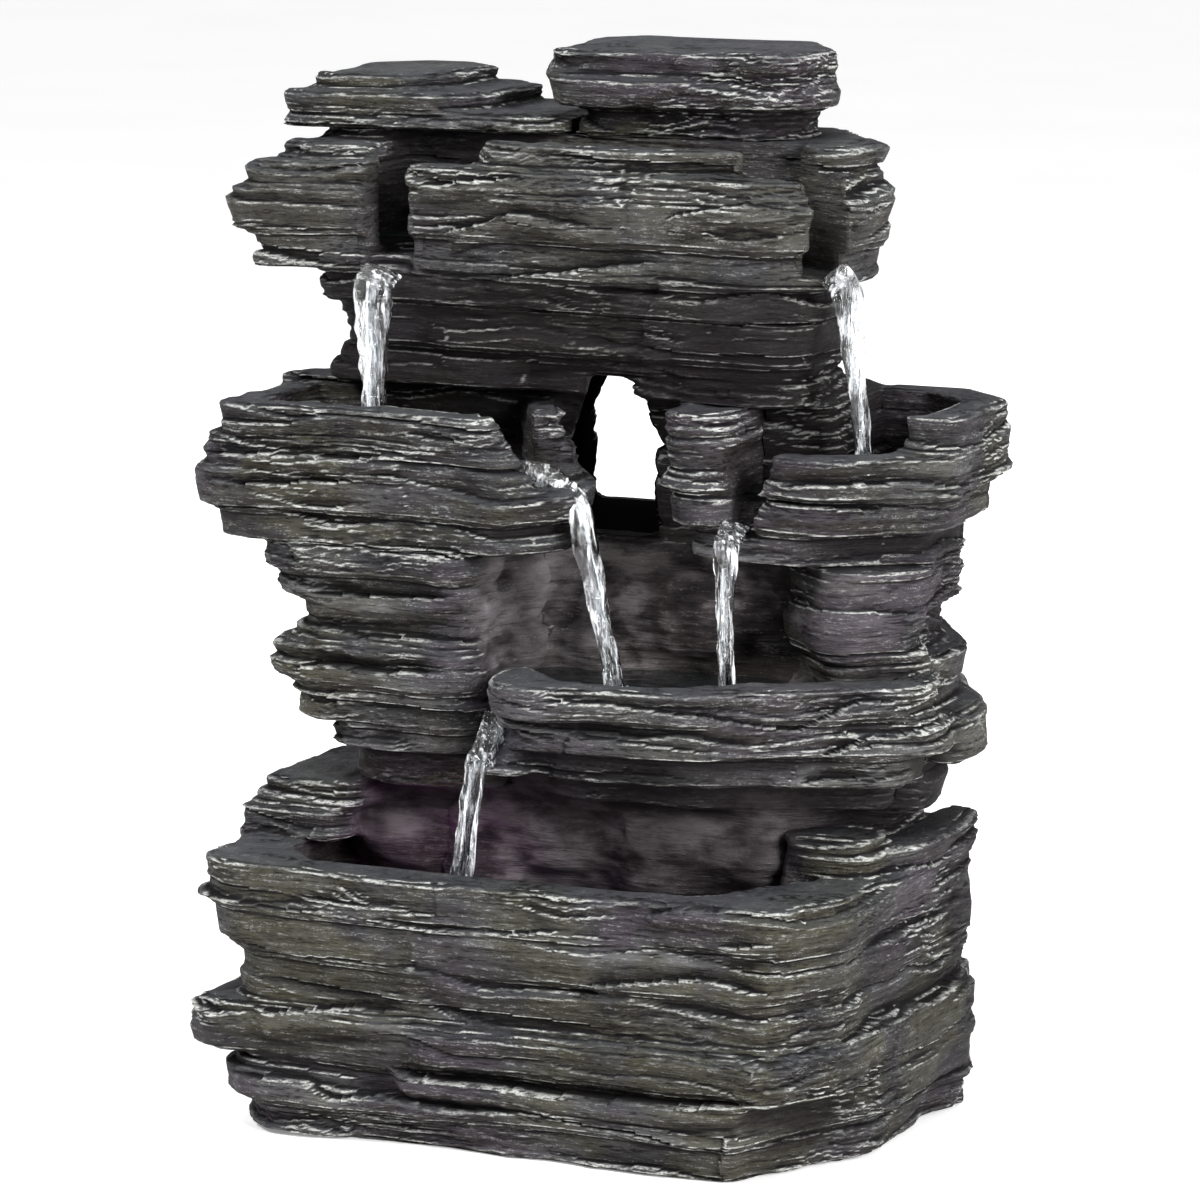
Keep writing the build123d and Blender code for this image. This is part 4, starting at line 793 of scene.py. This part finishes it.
def mixed(tree, share, first, second):
    """Two colours mixed by a share, each a socket or a colour."""
    node = add(tree, "ShaderNodeMix", data_type="RGBA")
    sockets = (node.inputs[0], node.inputs[6], node.inputs[7])
    for socket, value in zip(sockets, (share, first, second)):
        if isinstance(value, tuple):
            socket.default_value = (*value, 1)
        else:
            tree.links.new(value, socket)
    return node.outputs[2]


def stored(tree, name):
    """A value stored on the points of a mesh."""
    return add(tree, "ShaderNodeAttribute", attribute_name=name).outputs["Fac"]


def bumped(tree, shader, height, strength, distance):
    """Fine relief on a material."""
    bump = add(tree, "ShaderNodeBump", Strength=strength, Distance=distance)
    tree.links.new(height, bump.inputs["Height"])
    tree.links.new(bump.outputs["Normal"], shader.inputs["Normal"])


def slate_material(name, gloss):
    """Cast slate: dark stone, laminations, dark cracks, painted shade on the undersides, in the hollows and
    under overhanging rock, and pale dry-brushed edges.
    """
    material, tree, shader = new_material(name)
    broad, patch, speck, lamina, thread, swirl, wear = [texture(tree, *row) for row in SLATE_NOISE.values()]
    crest, hollow_shade, shade, recess, inside, painted_shade, facing, swell = [stored(tree, key) for key in STORED]

    def over(under, colour, value, low, high, share):
        """A colour laid on another as a value goes from low to high, up to a share."""
        return mixed(tree, number(tree, value, low, high, 0.0, share), under, colour)

    stone = colours(tree, broad, GREYS)
    stone = over(stone, OLIVE, patch, 0.51, 0.58, 0.72)
    stone = over(stone, MAUVE, patch, 0.49, 0.42, 0.72)
    stone = over(stone, PALE_LAYER, shade, 0, 2, 0.64)
    stone = over(stone, TOP_FACE, facing, 0.15, 0.80, 0.80)
    # Painted shade on the faces that look down
    stone = over(stone, UNDERSIDE_SHADE, facing, -0.05, -0.50, 0.70)
    wall = colours(tree, swirl, DUSK)
    # The recessed walls: paler on their swells, painted light on the left of the middle recess, painted
    # shadow in their hollows and on the right of it
    wall = over(wall, PALE_WALL, swell, 0.10, 0.80, 0.75)
    wall = over(wall, SHADOW, swell, -0.05, -0.60, 0.80)
    stone = over(stone, wall, recess, 0, 1, 0.9)
    stone = over(stone, INNER_WALL, inside, 0.2, 1, 0.45)
    free = number(tree, recess, 0, 0.8, 1.0, 0.40)
    light = product(
        tree,
        number(tree, lamina, 0.49, 0.57),
        number(tree, thread, 0.49, 0.58),
        free,
        number(tree, speck, 0.44, 0.56),
        number(tree, facing, 0.35, 0.80, 0.55, 0.16),
    )
    stone = mixed(tree, light, stone, PALE_THREAD)
    # Dark cracks between the laminae
    dark_bands, dark_threads = number(tree, lamina, 0.50, 0.41), number(tree, thread, 0.54, 0.44)
    stone = mixed(tree, product(tree, dark_bands, dark_threads, free, CRACK_SHARE), stone, DARK_CRACKS_AND_PAINTED_SHADE)
    # Painted shade in the hollows
    stone = over(stone, DARK_CRACKS_AND_PAINTED_SHADE, hollow_shade, 0.05, 0.75, 0.90)
    # Painted shadow where other rock keeps the light off, and deep painted shadow beyond
    stone = over(stone, SHADOW, painted_shade, 0.22, 0.95, 0.84)
    stone = over(stone, DEEP_SHADOW, painted_shade, 1.0, 1.6, 0.94)
    # Pale dry-brushed edges, weaker in the painted shade
    brush = product(
        tree,
        number(tree, crest, 0.38, 0.85),
        number(tree, thread, 0.42, 0.52, 0.1, 1.0),
        number(tree, painted_shade, 0.4, 1.4, 1.0, 0.1),
        number(tree, speck, 0.38, 0.52, 0.35, 1.0),
        number(tree, wear, 0.44, 0.56, 0.08, 1.0),
        BRUSH_SHARE,
    )
    stone = mixed(tree, brush, stone, DRY_BRUSH)
    tree.links.new(stone, shader.inputs["Base Color"])
    tree.links.new(number(tree, broad, 0.36, 0.64, 0.50, 0.80), shader.inputs["Roughness"])
    shader.inputs["Specular IOR Level"].default_value = gloss
    relief = combine(tree, "ADD", lamina, product(tree, thread, THREAD_DEPTH))
    relief = combine(tree, "ADD", relief, product(tree, speck, SPECK_DEPTH))
    bumped(tree, shader, product(tree, relief, free), 1.0, 0.006)
    return material


def stream_material():
    """Falling water: clear, with white streaks along the fall."""
    material, tree, shader = new_material("falling_water")
    streak = texture(tree, 240.0, 4.0, 0.65, (1, 1, 0.14))
    shader.inputs["Base Color"].default_value = (0.94, 0.96, 0.98, 1)
    tree.links.new(number(tree, streak, 0.52, 0.66, 1.0, 0.15), shader.inputs["Transmission Weight"])
    shader.inputs["IOR"].default_value = 1.33
    shader.inputs["Roughness"].default_value = 0.02
    bumped(tree, shader, streak, 0.8, 0.003)
    return material


def pool_material():
    """Still water, dark and shiny."""
    material, tree, shader = new_material("pool_water")
    ripple = texture(tree, 26.0, 2.0, 0.45)
    tone = colours(tree, ripple, ((0.3, (0.012, 0.015, 0.017)), (0.7, (0.024, 0.031, 0.034))))
    tree.links.new(tone, shader.inputs["Base Color"])
    shader.inputs["Alpha"].default_value = 0.62
    shader.inputs["Roughness"].default_value = 0.03
    bumped(tree, shader, ripple, 0.35, 0.002)
    return material


def plain_material(name, colour, roughness, metallic):
    """One colour with a slight unevenness, for the fittings."""
    material, tree, shader = new_material(name)
    cloud = texture(tree, 300.0, 3.0, 0.5)
    uneven = 0.18 if max(colour) < 0.3 else 0.05
    light = tuple(min(1.0, c * (1 + uneven) + 0.004) for c in colour)
    shade = tuple(c * (1 - uneven) for c in colour)
    tree.links.new(colours(tree, cloud, ((0.35, shade), (0.65, light))), shader.inputs["Base Color"])
    shader.inputs["Roughness"].default_value = roughness
    shader.inputs["Metallic"].default_value = metallic
    bumped(tree, shader, cloud, 0.15, 0.0005)
    return material


def fitting_materials():
    """A material for each of the record's slots that the fittings use: colour, roughness, metallic."""
    looks = {
        "black_plastic": ((0.020, 0.020, 0.022), 0.45, 0.0),
        "door_plastic": ((0.075, 0.072, 0.070), 0.65, 0.0),
        "white_plastic": ((0.70, 0.70, 0.68), 0.35, 0.0),
        "hose_plastic": ((0.42, 0.46, 0.46), 0.25, 0.0),
        "black_rubber": ((0.016, 0.016, 0.016), 0.75, 0.0),
        "clamp_steel": ((0.60, 0.60, 0.60), 0.30, 1.0),
        "insert_brass": ((0.70, 0.50, 0.20), 0.30, 1.0),
        "core_iron": ((0.16, 0.16, 0.17), 0.50, 1.0),
        "magnet_ferrite": ((0.05, 0.05, 0.055), 0.60, 0.3),
        "shaft_ceramic": ((0.80, 0.79, 0.75), 0.25, 0.0),
        "filter_foam": ((0.025, 0.025, 0.028), 0.95, 0.0),
        "board_green": ((0.03, 0.16, 0.06), 0.40, 0.0),
    }
    made = {slot: plain_material(slot, *look) for slot, look in looks.items()}
    material, tree, shader = new_material("lens_glass")
    glow = colours(tree, texture(tree, 160.0), ((0.3, (0.22, 0.10, 0.95)), (0.7, (0.45, 0.25, 1.0))))
    tree.links.new(glow, shader.inputs["Base Color"])
    tree.links.new(glow, shader.inputs["Emission Color"])
    shader.inputs["Emission Strength"].default_value = 3.0
    shader.inputs["Roughness"].default_value = 0.15
    made["lens_glass"] = material
    return made


def dress_fittings():
    """Every CAD node that is still shown takes the material of its slot."""
    made = fitting_materials()
    slots = {row["node"]: row["material_slot"] for row in frame["record"]["subparts"]}
    for node, piece in frame["nodes"].items():
        if node in ROCKS:
            continue
        piece.data.materials.clear()
        piece.data.materials.append(made[slots[node]])


# Water


def smooth_path(corners, steps):
    """Points evenly along a curve through the corners."""
    corners = np.array(corners)
    ends = np.concatenate(([2 * corners[0] - corners[1]], corners, [2 * corners[-1] - corners[-2]]))
    share = np.linspace(0, len(corners) - 1, steps * CURVE_STEPS)
    k = np.minimum(share.astype(int), len(corners) - 2)
    t = (share - k)[:, None]
    a, b, c, d = ends[k], ends[k + 1], ends[k + 2], ends[k + 3]
    square, cube = 2 * a - 5 * b + 4 * c - d, 3 * b - a - 3 * c + d
    dense = 0.5 * (2 * b + (c - a) * t + square * t**2 + cube * t**3)
    along = np.concatenate(([0], np.cumsum(np.linalg.norm(np.diff(dense, axis=0), axis=1))))
    even = np.linspace(0, along[-1], steps)
    return np.stack([np.interp(even, along, dense[:, axis]) for axis in range(3)], axis=1)


def rope(path, wide, thick, twist, seed):
    """Points and faces of an uneven flat rope along a path, its widths given step by step."""
    steps = len(path)
    way = np.gradient(path, axis=0)
    way /= np.linalg.norm(way, axis=1, keepdims=True)
    side = np.cross(way, ROPE_FACE + np.cross(way, (0.0, 0.0, 1.0)) * ROPE_LEAN)
    side /= np.linalg.norm(side, axis=1, keepdims=True)
    up = np.cross(side, way)
    turn = twist * np.linspace(0, 1, steps)
    spot = np.empty((steps, 3))
    spot[:, 2] = np.linspace(0, steps / ROPE_WAVE, steps)
    rings = []
    for k in range(STREAM_SIDES):
        angle = 2 * math.pi * k / STREAM_SIDES
        a, b = wide * math.cos(angle), thick * math.sin(angle)
        across, out = a * np.cos(turn) - b * np.sin(turn), a * np.sin(turn) + b * np.cos(turn)
        spot[:, :2] = ROPE_GRAIN * math.cos(angle), ROPE_GRAIN * math.sin(angle)
        swell = (1 + np.linspace(*ROPE_SWELL, steps) * noise(spot + seed * ROPE_SEED))[:, None]
        rings.append(path + (side * across[:, None] + up * out[:, None]) * swell)
    points = np.stack(rings, axis=1).reshape(-1, 3)
    faces = []
    for step in range(steps - 1):
        for k in range(STREAM_SIDES):
            n = (k + 1) % STREAM_SIDES
            row, after = step * STREAM_SIDES, (step + 1) * STREAM_SIDES
            faces.append((row + k, row + n, after + n, after + k))
    faces.append(tuple(reversed(range(STREAM_SIDES))))
    faces.append(tuple(range((steps - 1) * STREAM_SIDES, steps * STREAM_SIDES)))
    return points, faces


def add_drops(shape, centre, rng):
    """Small drops scattered about a point."""
    for _ in range(DROPS):
        spot = Vector(centre) + Vector(rng.normal(size=3) * DROP_SCATTER)
        radius = DROP_SIZE * rng.uniform(*DROP_SHARES)
        stretch = Matrix.Diagonal((radius, radius, radius * rng.uniform(*DROP_STRETCH), 1))
        place = Matrix.Translation(spot) @ stretch
        bmesh.ops.create_icosphere(shape, subdivisions=2, radius=1.0, matrix=place)


def stream(name, corners, half, seed):
    """One fall of water: a main rope, thin strands beside it and drops where it lands."""
    rng = np.random.default_rng(seed)
    path = smooth_path(corners, STREAM_STEPS)
    share = np.linspace(0, 1, STREAM_STEPS)
    shape = bmesh.new()
    wide = half * (1.0 - STREAM_WAIST[0] * ramp(share, *STREAM_WAIST[1:]))
    thick = wide * (STREAM_FLAT[0] + STREAM_FLAT[1] * ramp(share, *STREAM_FLAT[2:]))
    ropes = [rope(path, wide, thick, STREAM_TWIST, seed)]
    for strand in range(STRANDS):
        drift = rng.normal(size=3) * (STRAND_DRIFT[0] * half, STRAND_DRIFT[1] * half, 0)
        spots = [np.stack((share * STRAND_WANDER[0], share * 0 + axis, share * 0 + seed + strand), axis=1)
                 for axis in range(3)]
        wander = np.stack([noise(spot) for spot in spots], axis=1) * STRAND_WANDER[1]
        first = int(STREAM_STEPS * rng.uniform(*STRAND_START))
        side_path = (path + drift * share[:, None] ** 0.5 + wander)[first:]
        thin = np.full(len(side_path), rng.uniform(*STRAND_WIDE))
        ropes.append(rope(side_path, thin, STRAND_FLAT * thin, STRAND_TWIST, seed + strand + 1))
    for points, faces in ropes:
        corners_made = [shape.verts.new(p) for p in points]
        for face in faces:
            shape.faces.new([corners_made[k] for k in face])
    add_drops(shape, path[-1], rng)
    mesh = bpy.data.meshes.new("water_" + name)
    shape.to_mesh(mesh)
    shape.free()
    mesh.shade_smooth()
    return water_piece("water_" + name, mesh)


def water_piece(name, mesh):
    """A mesh of water as a piece of the fountain."""
    piece = bpy.data.objects.new(name, mesh)
    bpy.context.scene.collection.objects.link(piece)
    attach(piece, "fountain")
    return piece


def pool(name, node, middle, level, limits):
    """The water surface of a pool, out to the walls of its casting, with rings where streams land."""
    tree = solid_tree(node)
    points = [(*middle, level)]
    x0, x1, y0, y1 = limits
    for k in range(POOL_SPOKES):
        turn = 2 * math.pi * (k + 0.5) / POOL_SPOKES
        way = Vector((math.cos(turn), math.sin(turn), 0))
        far_x = ((x1 if way.x > 0 else x0) - middle[0]) / way.x
        far_y = ((y1 if way.y > 0 else y0) - middle[1]) / way.y
        far = min(far_x, far_y)
        hit = tree.ray_cast(Vector((*middle, level)), way, far)
        far = hit[3] if hit[0] is not None else far
        for r in range(1, POOL_RINGS + 1):
            gone = far * r / POOL_RINGS
            points.append((middle[0] + way.x * gone, middle[1] + way.y * gone, level))
    points = np.array(points)
    for corners, _ in STREAMS.values():
        land = np.array(corners[-1])
        if abs(land[2] - level) < LANDS_WITHIN:
            gap = np.linalg.norm(points[:, :2] - land[:2], axis=1)
            points[:, 2] += RING_HEIGHT * np.cos(gap / RING_LENGTH) * np.exp(-gap / RING_FADE)
    points[:, 2] += waves(points, RIPPLES)
    faces = []
    for k in range(POOL_SPOKES):
        row, after = 1 + k * POOL_RINGS, 1 + (k + 1) % POOL_SPOKES * POOL_RINGS
        faces.append((0, row, after))
        faces += [(row + r, row + r + 1, after + r + 1, after + r) for r in range(POOL_RINGS - 1)]
    mesh = bpy.data.meshes.new("water_pool_" + name)
    mesh.from_pydata(points.tolist(), [], faces)
    mesh.shade_smooth()
    return water_piece("water_pool_" + name, mesh)


def build_water():
    """All streams and pools, with their materials."""
    falling, still = stream_material(), pool_material()
    for seed, (name, (corners, half)) in enumerate(STREAMS.items()):
        stream(name, corners, half, seed).data.materials.append(falling)
    for name, (node, middle, level, limits) in POOLS.items():
        pool(name, node, middle, level, limits).data.materials.append(still)


# Stage


def build_stage():
    """White surroundings, a pale floor, soft boxes on three sides and the glows in the foot pool."""
    world = bpy.data.worlds.new("surroundings")
    bpy.context.scene.world = world
    world.use_nodes = True
    tree = world.node_tree
    tree.nodes["Background"].inputs["Color"].default_value = (1, 1, 1, 1)
    way = add(tree, "ShaderNodeSeparateXYZ")
    tree.links.new(add(tree, "ShaderNodeTexCoord").outputs["Generated"], way.inputs["Vector"])
    sky = number(tree, way.outputs["Z"], 0, 1, *AMBIENT)
    seen = add(tree, "ShaderNodeLightPath").outputs["Is Camera Ray"]
    tree.links.new(combine(tree, "MAXIMUM", sky, seen), tree.nodes["Background"].inputs["Strength"])
    bpy.ops.mesh.primitive_plane_add(size=FLOOR_SIZE, location=(0, 0, -FLOOR_DROP))
    floor = bpy.context.object
    floor.name = "floor"
    material, tree, shader = new_material("floor_white")
    tone = colours(tree, texture(tree, 3.0), ((0.3, (0.90, 0.90, 0.90)), (0.7, (0.93, 0.93, 0.93))))
    tree.links.new(tone, shader.inputs["Base Color"])
    shader.inputs["Roughness"].default_value = 0.9
    shader.inputs["Emission Color"].default_value = (1, 1, 1, 1)
    shader.inputs["Emission Strength"].default_value = 0.22
    floor.data.materials.append(material)
    for name, lamp in LAMPS.items():
        soft_box(name, *lamp).visible_glossy = name not in UNMIRRORED
    for name, (place, power, colour) in GLOWS.items():
        glow = bpy.data.lights.new(name, "POINT")
        glow.energy = power
        glow.color = colour
        glow.shadow_soft_size = GLOW_SIZE
        holder = bpy.data.objects.new(name, glow)
        holder.location = place
        holder.visible_glossy = False
        holder.visible_transmission = False
        bpy.context.scene.collection.objects.link(holder)
    bpy.context.scene.view_settings.view_transform = "Standard"


def soft_box(name, place, target, size, power):
    """A square lamp aimed at a point."""
    lamp = bpy.data.lights.new(name, "AREA")
    lamp.energy = power
    lamp.size = size
    holder = bpy.data.objects.new(name, lamp)
    holder.location = place
    holder.rotation_euler = (Vector(place) - Vector(target)).to_track_quat("Z", "Y").to_euler()
    bpy.context.scene.collection.objects.link(holder)
    return holder


def build_camera():
    """The photograph's view."""
    turn, rise = math.radians(AZIMUTH), math.radians(ELEVATION)
    back = Vector((math.sin(turn) * math.cos(rise), -math.cos(turn) * math.cos(rise), math.sin(rise)))
    lens = bpy.data.cameras.new("camera")
    lens.sensor_width = SENSOR
    lens.lens = SENSOR * FOCAL_SHARE
    camera = bpy.data.objects.new("camera", lens)
    camera.location = TARGET + back * DISTANCE
    aim = TARGET - Vector((0, 0, AIM_DROP))
    camera.rotation_euler = (camera.location - aim).to_track_quat("Z", "Y").to_euler()
    bpy.context.scene.collection.objects.link(camera)
    bpy.context.scene.camera = camera


ALL_ROCK = solid_tree(*ROCKS)
build_camera()
build_stage()
slate = slate_material("slate", GLOSS)
# The same slate without gloss, for the casting in deep painted shade
dull_slate = slate_material("slate_in_shade", 0.0)
for rock_node in ROCKS:
    rock_piece(rock_node).data.materials.append(dull_slate if rock_node in DEEP_SHADE else slate)
dress_fittings()
build_water()
